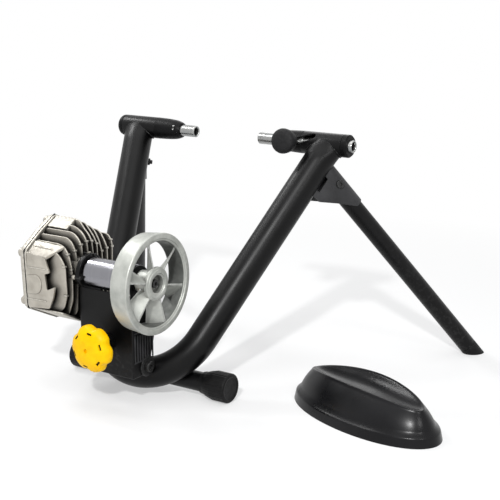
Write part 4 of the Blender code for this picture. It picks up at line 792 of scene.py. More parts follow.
PAINT = powder_coat()
BRACKET = bracket_coat()
PLASTIC = moulded_plastic()
GRIP = grip_rubber()
RUBBER = foot_rubber()
BLOCK = block_rubber()
CHROME = polished_chrome()
ZINC = zinc_plate()
BLACK_STEEL = blackened_steel()
TURNED = turned_steel()
ALLOY = cast_alloy()
CASTING = coated_casting()
SHADED_ROUGH_CASTING = shaded_rough_casting()
YELLOW = yellow_plastic()


def show(obj, look, slot, body, *nodes):
    """Gives a piece its material, and hangs it on its body in place of the nodes."""
    obj.data.materials.clear()
    obj.data.materials.append(look)
    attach(obj, body)
    if nodes:
        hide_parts(*nodes)
    return obj


def dress(look, *nodes):
    """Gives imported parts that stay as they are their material."""
    for node in nodes:
        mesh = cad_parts[node].data
        for index in range(len(mesh.materials)):
            mesh.materials[index] = look


# Main tube and welds


def arm_plane(across, down):
    """A point in the leaning plane that holds both arms, down from the axle."""
    lean = Vector((0, -math.sin(ARM_LEAN), -math.cos(ARM_LEAN)))
    return AXLE + X_AXIS * across + lean * down


def plane_normal():
    return Vector((0, math.cos(ARM_LEAN), -math.sin(ARM_LEAN)))


def tube_sections():
    """Across, down, turn and distance from the open end for each section of the main tube."""
    tangent_down = BEND_CENTRE_DOWN + BEND_RADIUS * math.sin(ARM_SPLAY)
    near = [ARM_END_TRIM + PINCH_LENGTH * k / 14 for k in range(15)]
    far = [near[-1] + (tangent_down - near[-1]) * k / 12 for k in range(1, 12)]
    half = []
    for down in near + far:
        half.append((ARM_HALF_SPACING - down * math.tan(ARM_SPLAY), down, ARM_SPLAY, down))
    steps = 40
    for k in range(steps + 1):
        turn = ARM_SPLAY + (math.pi / 2 - ARM_SPLAY) * k / steps
        across = BEND_RADIUS * math.cos(turn)
        half.append((across, BEND_CENTRE_DOWN + BEND_RADIUS * math.sin(turn), turn, tangent_down))
    return half + [(-across, down, math.pi - turn, end) for across, down, turn, end in half[-2::-1]]


def squeeze_at(from_end):
    """The arm is squeezed front to back towards its end."""
    pinched = (HEAD_RADIUS + PINCHED_WALL) / TUBE_RADIUS
    share = min(1, max(0, (from_end - ARM_END_TRIM) / (PINCH_LENGTH - ARM_END_TRIM)))
    share = share * share * (3 - 2 * share)
    return pinched + (1 - pinched) * share


def widen_at(from_end):
    """What the squeeze takes from the depth of the tube, it adds to its width."""
    share = min(1, max(0, 1 - (from_end - ARM_END_TRIM) / PINCH_LENGTH))
    return 1 + FLARE * share * share


def dent_at(from_end, t):
    """The squeezed end is pressed in along its front and back."""
    along = max(0, 1 - (from_end / DENT_LENGTH) ** 2)
    around = max(0, abs(math.sin(t)) - 0.35) / 0.65
    return DENT_DEPTH * along * around * around * (3 - 2 * around)


def build_main_tube():
    data = bmesh.new()
    rings = []
    depth = plane_normal()
    for across, down, turn, from_end in tube_sections():
        outward = arm_plane(math.cos(turn), math.sin(turn)) - arm_plane(0, 0)
        squeeze = squeeze_at(from_end)
        ring = []
        for k in range(SIDES):
            t = math.tau * k / SIDES
            radius = TUBE_RADIUS - dent_at(from_end, t)
            width = radius * widen_at(from_end)
            offset = outward * width * math.cos(t) + depth * radius * squeeze * math.sin(t)
            ring.append(data.verts.new(arm_plane(across, down) + offset))
        rings.append(ring)
    join_rings(data, rings, capped=True)
    tube = mesh_object("main_tube_look", data)
    carve(tube, rod("cope", HEAD_RADIUS + SEAT_GAP, -0.3, 0.3, along_x(AXLE), 96))
    show(tube, PAINT, "frame_paint", "frame", "main_tube")


def bead(name, path, radius):
    """A weld: a thin closed rope of overlapping drops along a path of points."""
    data = bmesh.new()
    rings = []
    angles = [math.tau * j / BEAD_SIDES for j in range(BEAD_SIDES)]
    for k, point in enumerate(path):
        run = (path[(k + 1) % len(path)] - path[k - 1]).normalized()
        side = run.cross(Vector((0.3, 0.5, 0.8))).normalized()
        up = run.cross(side)
        r = radius * (1 + BEAD_RIPPLE * math.cos(k * math.pi / 2))
        rings.append(
            [data.verts.new(point + side * (r * math.cos(a)) + up * (r * math.sin(a))) for a in angles]
        )
    join_rings(data, rings, closed=True)
    return mesh_object(name, data, sharp=math.radians(70))


def head_weld(side):
    """Where the arm's outer wall meets the head tube."""
    depth = plane_normal()
    lean = arm_plane(0, 1) - arm_plane(0, 0)
    splay = lean - X_AXIS * (side * math.tan(ARM_SPLAY))
    outward = X_AXIS * (side * math.cos(ARM_SPLAY)) + lean * math.sin(ARM_SPLAY)
    path = []
    for k in range(WELD_STEPS):
        t = math.tau * k / WELD_STEPS
        radius = TUBE_RADIUS - dent_at(ARM_END_TRIM, t)
        start = arm_plane(side * ARM_HALF_SPACING, 0)
        start += outward * (radius * widen_at(ARM_END_TRIM) * math.cos(t))
        start += depth * (min(radius * squeeze_at(ARM_END_TRIM), HEAD_RADIUS * 0.985) * math.sin(t))
        across = (start - AXLE).dot(depth)
        rise = math.sqrt(max(0, HEAD_RADIUS**2 - across**2))
        path.append(start + splay * (rise - (start - AXLE).dot(lean)))
    return bead(f"head_weld_{'right' if side > 0 else 'left'}", path, WELD_RADIUS)


def build_welds():
    for side in (-1, 1):
        show(head_weld(side), PAINT, "frame_paint", "frame")


# Heads, pins and clamp


def nose_profile():
    return [
        (HEAD_RADIUS, HEAD_INNER_END),
        (HEAD_RADIUS - 0.0003, HEAD_INNER_END - NOSE_LENGTH * 0.25),
        (NOSE_SHOULDER_RADIUS, HEAD_INNER_END - NOSE_LENGTH * 0.53),
        (NOSE_SHOULDER_RADIUS - 0.0011, HEAD_INNER_END - NOSE_LENGTH * 0.75),
        (NOSE_SHOULDER_RADIUS - 0.0027, HEAD_INNER_END - NOSE_LENGTH * 0.89),
        (NOSE_TIP_RADIUS + 0.0008, HEAD_INNER_END - NOSE_LENGTH * 0.97),
        (NOSE_TIP_RADIUS, HEAD_INNER_END - NOSE_LENGTH),
    ]


def mouth(start):
    """The chamfered end of a chrome pin, from its bore to its full radius."""
    return [
        (PIN_BORE, start + 0.0012),
        (PIN_BORE + 0.0010, start),
        (PIN_RADIUS - 0.0008, start),
        (PIN_RADIUS, start + 0.0010),
    ]


def groove(start, width):
    low = PIN_RADIUS - PIN_GROOVE
    return [
        (PIN_RADIUS, start),
        (low, start + 0.0003),
        (low, start + 0.0003 + width),
        (PIN_RADIUS, start + 0.0006 + width),
    ]


def pin(name, start, end, matrix):
    """A chrome pin with a chamfered mouth and two fine grooves near its tip."""
    profile = [
        (PIN_BORE, end), *mouth(start), *groove(start + 0.0050, 0.0006), *groove(start + 0.0100, 0.0006)
    ]
    return lathe(name, profile + [(PIN_RADIUS, end - 0.0010), (PIN_RADIUS - 0.0008, end)], matrix)


def bore_shade_sleeve(name, body, start, end, matrix):
    """A dark sleeve inside a chrome pin's bore: painted shade for the pin's hollow inside."""
    sleeve = pipe(name, PIN_BORE, PIN_BORE - 0.0006, start, end, matrix, 48, 0.0002)
    show(sleeve, BLACK_STEEL, "chrome", body)


def around_axle(angle):
    """Out from the axle, at an angle above straight back."""
    return Vector((0, -math.cos(angle), math.sin(angle)))


def build_left_head():
    side = frame_of(AXLE, -X_AXIS)
    tube = pipe(
        "head_tube_left_look", HEAD_RADIUS, HEAD_BORE, HEAD_INNER_END + SEAT_GAP, LEFT_HEAD_END, side
    )
    show(tube, PAINT, "frame_paint", "frame", "head_tube_left")
    face = LEFT_HEAD_END + SEAT_GAP
    dome = [
        (HEAD_BORE - SEAT_GAP, face),
        (HEAD_RADIUS - 0.0006, face),
        (HEAD_RADIUS, face + 0.0008),
        (HEAD_RADIUS, face + CAP_LENGTH * 0.30),
        (HEAD_RADIUS * 0.965, face + CAP_LENGTH * 0.58),
        (HEAD_RADIUS * 0.84, face + CAP_LENGTH * 0.82),
        (HEAD_RADIUS * 0.55, face + CAP_LENGTH * 0.96),
        (0, face + CAP_LENGTH),
    ]
    plug = [(0, face - 0.012), (HEAD_BORE - SEAT_GAP, face - 0.012)]
    cap = lathe("head_cap_left_look", plug + rounded(dome, 0.004), side)
    show(cap, PLASTIC, "black_plastic", "frame", "head_cap_left")

    tip = HEAD_INNER_END - NOSE_LENGTH
    pin_end = tip + PIN_SEAT_LENGTH
    seat = PIN_RADIUS + SEAT_GAP
    profile = rounded(nose_profile(), 0.0022) + [(seat, tip), (seat, HEAD_INNER_END)]
    nose = lathe("nose_left_look", profile, side)
    tools = []
    sink_floor = SET_SCREW_TOP - 0.0006
    sink = [(0, sink_floor), (0.0022, sink_floor), (0.006, SET_SCREW_TOP + 0.004), (0, 0.03)]
    places = [frame_of(AXLE - X_AXIS * SET_SCREW_X, around_axle(angle)) for angle in SET_SCREW_ANGLES]
    for index, place in enumerate(places, 1):
        tools.append(
            rod(f"hole_{index}", SET_SCREW_RADIUS + SEAT_GAP, SET_SCREW_TOP - 0.006, 0.04, place, 32)
        )
        tools.append(lathe(f"sink_{index}", sink, place, 32))
    carve(nose, *tools)
    show(nose, PLASTIC, "black_plastic", "frame", "nose_left")
    show(pin("cone_left_look", LEFT_PIN_TIP, pin_end, side), CHROME, "chrome", "frame", "cone_left")
    # The dark sleeve in the pin's bore is painted shade.
    bore_shade_sleeve("cone_left_bore_shade", "frame", LEFT_PIN_TIP + 0.0015, pin_end, side)
    inner = SET_SCREW_TOP - SET_SCREW_LENGTH
    for index, place in enumerate(places, 1):
        screw = rod(f"set_screw_{index}_look", SET_SCREW_RADIUS, inner, SET_SCREW_TOP, place, 32, 0.0005)
        carve(screw, plate("key", hexagon(0.00095), SET_SCREW_TOP - 0.0015, 0.03, place))
        show(screw, CHROME, "zinc_steel", "frame", f"set_screw_{index}")


def slot_cutter():
    """The helical slot that guides the lever's shank, as a swept radial ribbon."""
    half_width = SHANK_RADIUS + 0.001
    slope = math.atan(HEAD_RADIUS * SLOT_TURN / CLAMP_TRAVEL)
    run = Vector((math.cos(slope), math.sin(slope)))
    across = Vector((-run.y, run.x))
    length = CLAMP_TRAVEL / run.x
    ends = 6
    data = bmesh.new()
    rings = []
    for k in range(SLOT_STEPS + 2 * ends + 1):
        share = min(1, max(0, (k - ends) / SLOT_STEPS))
        over = 0.0
        if k < ends:
            over = -math.sin(math.pi / 2 * min(0.985, (ends - k) / ends))
        if k > SLOT_STEPS + ends:
            over = math.sin(math.pi / 2 * min(0.985, (k - SLOT_STEPS - ends) / ends))
        middle = run * (length * share + half_width * over)
        reach = across * half_width * math.sqrt(1 - over * over)
        angle = LEVER_ANGLE + middle.y / HEAD_RADIUS
        out = around_axle(angle)
        up = Vector((0, math.sin(angle), math.cos(angle)))
        ring = []
        for sign, radius in ((-1, PIN_RADIUS), (1, PIN_RADIUS), (1, 0.026), (-1, 0.026)):
            place = Vector((LEVER_X + middle.x + reach.x * sign, 0, AXLE_HEIGHT))
            ring.append(data.verts.new(place + out * radius + up * (reach.y * sign)))
        rings.append(ring)
    join_rings(data, rings, capped=True)
    return mesh_object("slot", data)


def build_right_head():
    side = frame_of(AXLE, X_AXIS)
    tube = pipe(
        "head_tube_right_look", HEAD_RADIUS, HEAD_BORE, HEAD_INNER_END + SEAT_GAP, HEAD_OUTER_END, side
    )
    carve(tube, slot_cutter())
    show(tube, PAINT, "frame_paint", "frame", "head_tube_right")
    face = HEAD_OUTER_END + SEAT_GAP
    end = face + COLLAR_LENGTH
    guide = PIN_RADIUS + RUNNING_GAP
    collar = [
        (guide, face - 0.030),
        (HEAD_BORE - SEAT_GAP, face - 0.030),
        (HEAD_BORE - SEAT_GAP, face),
        (HEAD_RADIUS - 0.0005, face),
        (HEAD_RADIUS, face + 0.0007),
        (HEAD_RADIUS, end - 0.0026),
        (HEAD_RADIUS - 0.0022, end),
        (guide + 0.0015, end),
        (guide, end - 0.0012),
    ]
    show(
        lathe("head_bushing_right_look", collar, side),
        PLASTIC,
        "black_plastic",
        "frame",
        "head_bushing_right",
    )
    tip = HEAD_INNER_END - NOSE_LENGTH
    profile = rounded(nose_profile(), 0.0022)
    cavity_start, cavity_end = LEVER_CAVITY
    profile += [(guide, tip), (guide, cavity_start), (LEVER_CAVITY_RADIUS, cavity_start)]
    profile += [(LEVER_CAVITY_RADIUS, cavity_end), (HEAD_BORE - SEAT_GAP, cavity_end)]
    profile += [(HEAD_BORE - SEAT_GAP, HEAD_INNER_END)]
    nose = lathe("nose_right_look", profile, side)
    carve(nose, slot_cutter())
    show(nose, PLASTIC, "black_plastic", "frame", "nose_right")


def rod_profile():
    """The sliding rod: a chamfered chrome tube whose outer mouth is rolled in."""
    return [
        (PIN_BORE, ROD_END - 0.0025),
        *mouth(RIGHT_PIN_TIP),
        *groove(RIGHT_PIN_TIP + 0.0060, 0.0007),
        (PIN_RADIUS, ROD_END - 0.0016),
        (PIN_RADIUS - 0.0005, ROD_END - 0.0004),
        (PIN_RADIUS - 0.0014, ROD_END),
        (PIN_RADIUS - 0.0022, ROD_END - 0.0004),
    ]


def build_clamp():
    side = frame_of(AXLE, X_AXIS)
    show(lathe("clamp_rod_look", rod_profile(), side), CHROME, "chrome", "clamp", "clamp_rod")
    # The dark sleeve in the rod's bore is painted shade.
    bore_shade_sleeve("clamp_rod_bore_shade", "clamp", RIGHT_PIN_TIP + 0.0015, ROD_END - 0.0026, side)
    half = LEVER_COLLAR_LENGTH / 2
    collar = pipe(
        "lever_collar_look", LEVER_COLLAR_RADIUS, PIN_RADIUS + RUNNING_GAP, LEVER_X - half, LEVER_X + half, side
    )
    place = frame_of(AXLE + X_AXIS * LEVER_X, LEVER_DIRECTION, X_AXIS)
    carve(collar, rod("thread", SHANK_RADIUS + SEAT_GAP, 0, HEAD_RADIUS, place, 48))
    show(collar, ZINC, "zinc_steel", "clamp_lever", "lever_collar")
    shank = rod("lever_shank_look", SHANK_RADIUS, 0.0108, 0.0552, place, 48, 0.0006)
    show(shank, ZINC, "zinc_steel", "clamp_lever", "lever_shank")
    socket = [(SHANK_RADIUS + SEAT_GAP, 0.0555), (SHANK_RADIUS + SEAT_GAP, 0.0235)]
    grip = lathe("lever_grip_look", socket + curved(GRIP_PROFILE)[:-1] + [(0.004, 0.0671)], place, 96)
    plug = lathe(
        "grip_face",
        [(0, 0.0600), (0.0043, 0.0600), (0.0043, 0.0668), (0.0036, 0.0672), (0, 0.0670)],
        place,
        48,
    )
    show(merge("lever_ball_look", grip, plug), GRIP, "grip", "clamp_lever", "lever_ball")


# Crossbar and feet


def build_crossbar():
    middle = along_x((0, CROSSBAR_Y, FOOT_RADIUS))
    bar = pipe("foot_crossbar_look", CROSSBAR_RADIUS, CROSSBAR_RADIUS - 0.0026, -0.155, 0.155, middle)
    show(bar, PAINT, "frame_paint", "frame", "foot_crossbar")
    for side, name in ((-1, "foot_cap_left"), (1, "foot_cap_right")):
        build_foot_cap(side, name)


def faceted(radius, t):
    """A many-sided ring whose corners carry shallow grooves where the cap is widest."""
    step = math.tau / FOOT_FACETS
    inside = (t + math.pi / 2) % step - step / 2
    flat = radius / math.cos(inside)
    groove = math.exp(-(((abs(inside) - step / 2) / 0.035) ** 2))
    wide = min(1, max(0, (radius - FOOT_NECK_RADIUS) / (FOOT_RADIUS - FOOT_NECK_RADIUS)))
    return flat - FOOT_GROOVE_DEPTH * groove * wide


def build_foot_cap(side, name):
    taper_end = FOOT_START + FOOT_TAPER_LENGTH
    dish = FOOT_END - FOOT_RIM_DEPTH
    inner = FOOT_RADIUS - FOOT_EDGE - FOOT_RIM_WIDTH
    outer = [
        (CROSSBAR_RADIUS + SEAT_GAP, FOOT_START),
        (FOOT_NECK_RADIUS, FOOT_START),
        (FOOT_NECK_RADIUS + 0.0006, FOOT_START + 0.006),
        ((FOOT_NECK_RADIUS + FOOT_RADIUS) / 2, FOOT_START + FOOT_TAPER_LENGTH / 2),
        (FOOT_RADIUS, taper_end),
        (FOOT_RADIUS, FOOT_END - FOOT_EDGE),
        (FOOT_RADIUS - FOOT_EDGE, FOOT_END),
        (inner + FOOT_RIM_DEPTH, FOOT_END),
        (inner, dish),
        (0, dish),
    ]
    place = frame_of((0, CROSSBAR_Y, FOOT_RADIUS), X_AXIS * side)

    def cap_ring(radius, along, t):
        if radius <= inner + 0.0001 or radius < FOOT_NECK_RADIUS - 0.0005:
            return radius
        return faceted(radius, t)

    inside = [(0, FOOT_END - 0.006), (CROSSBAR_RADIUS + SEAT_GAP, FOOT_END - 0.006)]
    profile = inside + rounded(outer, 0.0010)
    cap = lathe(f"{name}_look", profile, place, FOOT_FACETS * 12, cap_ring, math.radians(13))
    show(cap, RUBBER, "rubber", "frame", name)


# Legs and brackets


def leg_geometry(side):
    """Arm top, arm direction, direction away from the arm, hinge point, leg direction and hinge axis."""
    top = arm_plane(side * ARM_HALF_SPACING, 0)
    arm = (arm_plane(-side * math.sin(ARM_SPLAY), math.cos(ARM_SPLAY)) - arm_plane(0, 0)).normalized()
    outward = arm_plane(side * math.cos(ARM_SPLAY), math.sin(ARM_SPLAY)) - arm_plane(0, 0)
    away = outward * math.cos(LEG_TURN) + plane_normal() * math.sin(LEG_TURN)
    hinge = top + arm * HINGE_ALONG_ARM + away * HINGE_FROM_ARM
    leg = arm * math.cos(LEG_ANGLE) + away * math.sin(LEG_ANGLE)
    axis = arm.cross(away) * side
    return top, arm, away, hinge, leg, axis


def build_leg(side, name):
    hinge, leg, axis = leg_geometry(side)[3:]
    place = frame_of(hinge, leg, axis)
    slope = math.sqrt(1 - leg.z**2)
    end = (hinge.z - LEG_RADIUS * slope - LEG_FOOT_HEIGHT) / -leg.z
    dome = arc((0, 0), LEG_RADIUS, -math.pi / 2, 0, 10)
    profile = dome + [(LEG_RADIUS, end - 0.0006), (LEG_RADIUS - 0.0006, end), (0, end)]
    show(
        lathe(f"{name}_leg_tube_look", profile, place),
        PAINT,
        "frame_paint",
        f"{name}_leg",
        f"{name}_leg_tube",
    )

    start = end + SEAT_GAP
    past_floor = end + 5 * LEG_RADIUS
    sole = [
        (0, start),
        (LEG_RADIUS - 0.0008, start),
        (LEG_RADIUS, start + 0.0008),
        (LEG_RADIUS, start + 0.0022),
        (LEG_RADIUS - 0.0004, start + 0.0026),
        (LEG_RADIUS - 0.0004, start + 0.0034),
        (LEG_RADIUS, start + 0.0038),
        (LEG_RADIUS, past_floor),
        (0, past_floor),
    ]
    foot = lathe(f"{name}_leg_foot_look", sole, place)
    contact = hinge + leg * (hinge.z / -leg.z)
    square = ((-0.1, -0.1), (0.1, -0.1), (0.1, 0.1), (-0.1, 0.1))
    carve(foot, plate("floor_cut", square, -0.2, 0, Matrix.Translation((contact.x, contact.y, 0))))
    soften(foot, 0.0008)
    show(foot, RUBBER, "rubber", f"{name}_leg", f"{name}_leg_foot")


def trough(radius, far):
    return arc((0, 0), radius, -math.pi / 2, math.pi / 2, 28) + [(-far, radius), (-far, -radius)]


def in_frame(place, point):
    local = place.inverted() @ point
    return (local.x, local.y)


def build_bracket(side, name):
    top, arm, away, hinge, leg, axis = leg_geometry(side)
    normal = arm.cross(away)
    inner = LEG_RADIUS + SEAT_GAP
    outer = inner + BRACKET_WALL
    far = 0.19
    leg_frame = frame_of(hinge, leg, normal)
    arm_frame = frame_of(top, normal, arm)
    outline = [in_frame(arm_frame, top + arm * x + away * y) for x, y in BRACKET_OUTLINE]
    bracket = plate(f"{name}_leg_bracket_look", trough(outer, far), -far, far, leg_frame)
    silhouette = plate("silhouette", rounded(outline, 0.003, closed=True), -2 * outer, 2 * outer, arm_frame)
    carve(bracket, silhouette, operation="INTERSECT")
    channel = plate("channel", trough(inner, 2 * far), -2 * far, 2 * far, leg_frame)
    arm_room = rod(
        "arm_room", TUBE_RADIUS + SEAT_GAP, -far, far, frame_of(top + arm * HINGE_ALONG_ARM, arm), 96
    )
    carve(bracket, channel, arm_room)
    soften(bracket, 0.0005)
    show(bracket, BRACKET, "frame_paint", "frame", f"{name}_leg_bracket")

    place = frame_of(hinge, axis, leg)
    face = outer + SEAT_GAP
    head = socket_screw(
        "head", HINGE_HEAD_RADIUS, HINGE_HEAD_HEIGHT, place @ Matrix.Translation((0, 0, face))
    )
    shank = rod("shank", 0.004, -(face + HINGE_NUT_HEIGHT), face, place, 32)
    show(
        merge(f"{name}_hinge_bolt_look", head, shank),
        BLACK_STEEL,
        "zinc_steel",
        "frame",
        f"{name}_hinge_bolt",
    )
    under = place @ Matrix.Translation((0, 0, -face)) @ UPSIDE_DOWN
    nut = hex_nut(f"{name}_hinge_nut_look", HINGE_HEAD_RADIUS, HINGE_NUT_HEIGHT, under, 1.7)
    show(nut, BLACK_STEEL, "zinc_steel", "frame", f"{name}_hinge_nut")


# Resistance unit


def yoke_outline():
    points = [(YOKE_BACK_Y, YOKE_WEB_TOP + YOKE_WEB_RISE), (YOKE_BACK_Y, PIVOT_Z - YOKE_FOOT_RADIUS)]
    foot = arc((PIVOT_Y, PIVOT_Z), YOKE_FOOT_RADIUS, -math.pi / 2, math.radians(20), 16)
    front = [(PIVOT_Y + forward, PIVOT_Z + up) for forward, up in YOKE_FRONT]
    head = arc((ROLLER_Y, ROLLER_Z), YOKE_HEAD_RADIUS, math.radians(-8), math.radians(200), 40)
    return points + foot + front + head


def bolt_place(angle):
    return along_x(ROLLER_AXIS + Vector((0, math.cos(angle), math.sin(angle))) * BOLT_CIRCLE)


def build_yoke():
    axis = along_x(ROLLER_AXIS)
    yoke = plate("yoke_look", yoke_outline(), YOKE_LEFT, YOKE_RIGHT, WHOLE, 0.0022, 4)
    web = YOKE_BACK_Y + YOKE_WALL
    far = 0.2
    room = (
        (web, PIVOT_Z - far),
        (PIVOT_Y + far, PIVOT_Z - far),
        (PIVOT_Y + far, ROLLER_Z + far),
        (YOKE_BACK_Y - far, ROLLER_Z + far),
        (YOKE_BACK_Y - far, YOKE_WEB_TOP + YOKE_WEB_RISE),
        (web, YOKE_WEB_TOP + YOKE_WEB_RISE),
    )
    carve(yoke, plate("room", room, YOKE_LEFT + YOKE_WALL, YOKE_RIGHT - YOKE_WALL, WHOLE))
    left_boss = rod("left_boss", YOKE_BOSS_RADIUS, YOKE_LEFT + 0.001, YOKE_LEFT + 0.009, axis, 96, 0.0012)
    right_boss = rod("right_boss", 0.0190, 0.0415, 0.0490, axis, 96, 0.0010)
    carve(yoke, left_boss, right_boss, operation="UNION")
    bearing = rod("bearing", BEARING_BORE, -far, far, axis, 96)
    pivot = rod("pivot", PIVOT_BORE, -far, far, along_x(PIVOT_AXIS), 48)
    stud = rod("stud", STUD_BORE, -0.02, 0.02, frame_of((0, YOKE_BACK_Y, TENSION_Z), BACKWARD), 48)
    bolts = [
        rod(f"bolt_{k}", YOKE_BOLT_BORE, YOKE_LEFT - 0.02, YOKE_LEFT + 0.03, bolt_place(a), 24)
        for k, a in enumerate(BOLT_ANGLES)
    ]
    carve(yoke, bearing, pivot, stud, *bolts)
    ribs = []
    for k in range(YOKE_RIB_COUNT):
        y = -0.3340 + YOKE_RIB_PITCH * k
        low, high = 0.0745, 0.1190 - 0.0012 * k
        rib = ((y, low), (y + 0.0026, low), (y + 0.0026, high), (y, high))
        ribs.append(plate(f"rib_{k}", rib, YOKE_RIGHT + 0.0001, YOKE_RIGHT + 0.0018, WHOLE, 0.0005))
    for low in (0.0720, 0.1205):
        rail = ((-0.3350, low), (-0.2875, low), (-0.2875, low + 0.0022), (-0.3350, low + 0.0022))
        ribs.append(plate("rail", rail, YOKE_RIGHT + 0.0001, YOKE_RIGHT + 0.0012, WHOLE, 0.0004))
    show(yoke, PAINT, "frame_paint", "resistance_unit", "yoke")
    # The ribs and rails wear the bracket's lighter grey, a painted highlight that shows them as light lines on
    # the black yoke.
    show(merge("yoke_ribs_highlight_grey", *ribs), BRACKET, "frame_paint", "resistance_unit")


def build_pivot():
    face = YOKE_RIGHT + SEAT_GAP
    washer_end = face + 0.0026
    place = along_x(PIVOT_AXIS)
    washer = pipe("pivot_washer_look", 0.0165, PIVOT_BORE, face, washer_end, place)
    show(washer, BLACK_STEEL, "zinc_steel", "resistance_unit", "pivot_washer")
    head = socket_screw("pivot_head", 0.0085, 0.006, along_x(PIVOT_AXIS, washer_end + SEAT_GAP))
    shank = rod("pivot_shank", 0.005, YOKE_LEFT - 0.006, washer_end, place, 48)
    show(merge("pivot_bolt_look", head, shank), BLACK_STEEL, "zinc_steel", "resistance_unit", "pivot_bolt")
    nut_place = along_x(PIVOT_AXIS, YOKE_LEFT - SEAT_GAP) @ UPSIDE_DOWN
    show(
        hex_nut("pivot_nut_look", 0.0085, 0.006, nut_place),
        ZINC,
        "zinc_steel",
        "resistance_unit",
        "pivot_nut",
    )


def lobes(share):
    def ring(radius, along, t):
        valley = (0.5 + 0.5 * math.cos(KNOB_LOBES * (t - KNOB_PHASE))) ** KNOB_LOBE_SHARPNESS
        return radius - KNOB_LOBE_DEPTH * share(along) * valley

    return ring


def build_knob():
    place = frame_of((0, 0, TENSION_Z), BACKWARD)
    web = -YOKE_BACK_Y + SEAT_GAP
    rim = web + KNOB_HUB_LENGTH
    cuts = [(rim + KNOB_DEPTH * along, cut) for _, along, cut in KNOB_SECTIONS]

    def share(along):
        if along < cuts[0][0] - 0.0005:
            return 0.0
        for (a, low), (b, high) in zip(cuts, cuts[1:]):
            if along <= b:
                return low + (high - low) * max(0, along - a) / (b - a)
        return 0.0

    face = curved([(KNOB_RADIUS * r, rim + KNOB_DEPTH * along) for r, along, _ in KNOB_SECTIONS], 4)
    hub = pipe("knob_hub", KNOB_HUB_RADIUS, KNOB_BORE, web, rim + 0.0035, place, edge=0.001)
    front = rim + KNOB_DEPTH
    profile = [(KNOB_BORE, rim + 0.004), (KNOB_RADIUS * 0.86, rim + 0.004), (KNOB_RADIUS * 0.90, rim)]
    profile += face[:-1] + [(KNOB_MOUTH, front), (KNOB_MOUTH, front - 0.004), (KNOB_BORE, front - 0.0055)]
    knob = lathe("tension_knob_look", profile, place, KNOB_LOBES * 36, lobes(share))
    pockets, pocket_shades = [], []
    x, y = KNOB_SLOT_HALF
    outline = rounded([(-x, -y), (x, -y), (x, y), (-x, y)], 0.0006, closed=True)
    surface = rim + KNOB_DEPTH * 0.80
    for k in range(KNOB_LOBES):
        angle = KNOB_PHASE + math.tau * k / KNOB_LOBES
        turn = place @ Matrix.Rotation(angle, 4, "Z") @ Matrix.Translation((KNOB_SLOT_RADIUS, 0, 0))
        pockets.append(plate(f"pocket_{k}", outline, surface - 0.006, surface + 0.02, turn))
        # A black plate at each pocket's floor is painted shade for the dark inside of the slot.
        pocket_shades.append(plate(f"pocket_shade_{k}", outline, surface - 0.0055, surface - 0.0012, turn))
    carve(knob, *pockets, sharp=math.radians(40))
    middle = rod("middle", 0.0033, front - 0.0055, front - 0.0034, place, 32)
    show(
        merge("tension_knob_face", knob, middle), YELLOW, "yellow_plastic", "tension_screw", "tension_knob"
    )
    show(merge("knob_hub_and_pocket_shades", hub, *pocket_shades), PLASTIC, "black_plastic", "tension_screw")


def housing_outline(offset=0.0):
    """The housing's outline as (forward, up) points, moved outward by an offset."""
    points = [Vector((ROLLER_Y + y, ROLLER_Z + z)) for y, z in HOUSING_OUTLINE]
    moved = []
    count = len(points)
    for k, p in enumerate(points):
        before = (p - points[k - 1]).normalized()
        after = (points[(k + 1) % count] - p).normalized()
        normal_a = Vector((-before.y, before.x))
        normal_b = Vector((-after.y, after.x))
        middle = (normal_a + normal_b).normalized()
        moved.append(p - middle * (offset / middle.dot(normal_a)))
    return moved


def outline_span(y):
    heights = []
    points = housing_outline()
    for k, a in enumerate(points):
        b = points[(k + 1) % len(points)]
        if min(a.x, b.x) <= y <= max(a.x, b.x) and a.x != b.x:
            heights.append(a.y + (b.y - a.y) * (y - a.x) / (b.x - a.x))
    return min(heights), max(heights)


def cover_screw_places():
    places = []
    for corner in COVER_SCREW_CORNERS:
        y, z = HOUSING_OUTLINE[corner]
        reach = math.hypot(y, z)
        share = (reach - COVER_SCREW_INSET) / reach
        places.append(Vector((0, ROLLER_Y + y * share, ROLLER_Z + z * share)))
    return places


def build_fin(index, y, edge):
    """A thin cast fin with a rounded rim and small nubs on its edge."""
    low, high = outline_span(y)
    low, high = low + 0.001, high - 0.001
    corner = [(x, min(z, high)) for x, z in edge]
    bottom = [(corner[-1][0] - 0.010, low + 0.002), (corner[-1][0] - 0.020, low)]
    if bottom[0][1] > corner[-1][1] - 0.004:
        bottom = [(corner[-1][0] - 0.008, low)]
    outline = [(FIN_LEFT, low), (FIN_LEFT, high), (corner[0][0] - 0.010, high)] + corner + bottom
    smooth_outline = rounded(outline, 0.006, closed=True)
    place = Matrix.Translation((0, y, 0)) @ FACING_BACK
    fin = plate(f"fin_{index}", smooth_outline, -FIN_THICKNESS / 2, FIN_THICKNESS / 2, place, 0.0010, 3)
    nubs = []
    for x, z in (corner[2], corner[3]):
        inner, outer, low, high = x - 0.006, x + 0.0004, z - 0.0015, z + 0.0015
        spot = ((inner, low), (outer, low), (outer, high), (inner, high))
        nubs.append(plate("nub", spot, -FIN_THICKNESS * 0.95, FIN_THICKNESS * 0.95, place, 0.0006))
    return [fin, *nubs]


def wall_strip(name, a, b, thickness, start, end, edge=0.0008):
    """A straight wall along one side of the outline, from a to b, set inward by its thickness."""
    a, b = Vector(a), Vector(b)
    run = (b - a).normalized()
    inward = Vector((run.y, -run.x))
    middle = Vector((ROLLER_Y + 0.012, ROLLER_Z))
    if (middle - a).dot(inward) < 0:
        inward = -inward
    outline = [a, b, b + inward * thickness, a + inward * thickness]
    return plate(name, outline, start, end, WHOLE, edge)


def build_brow():
    """The slanting face between the wall and the fin behind it."""
    data = bmesh.new()
    top = [data.verts.new(corner) for corner in BROW_CORNERS]
    under = [data.verts.new(Vector(corner) + Vector((0, 0.002, -0.005))) for corner in BROW_CORNERS]
    join_rings(data, [top, under], capped=True)
    return soften(mesh_object("brow", data), 0.0010, 3)


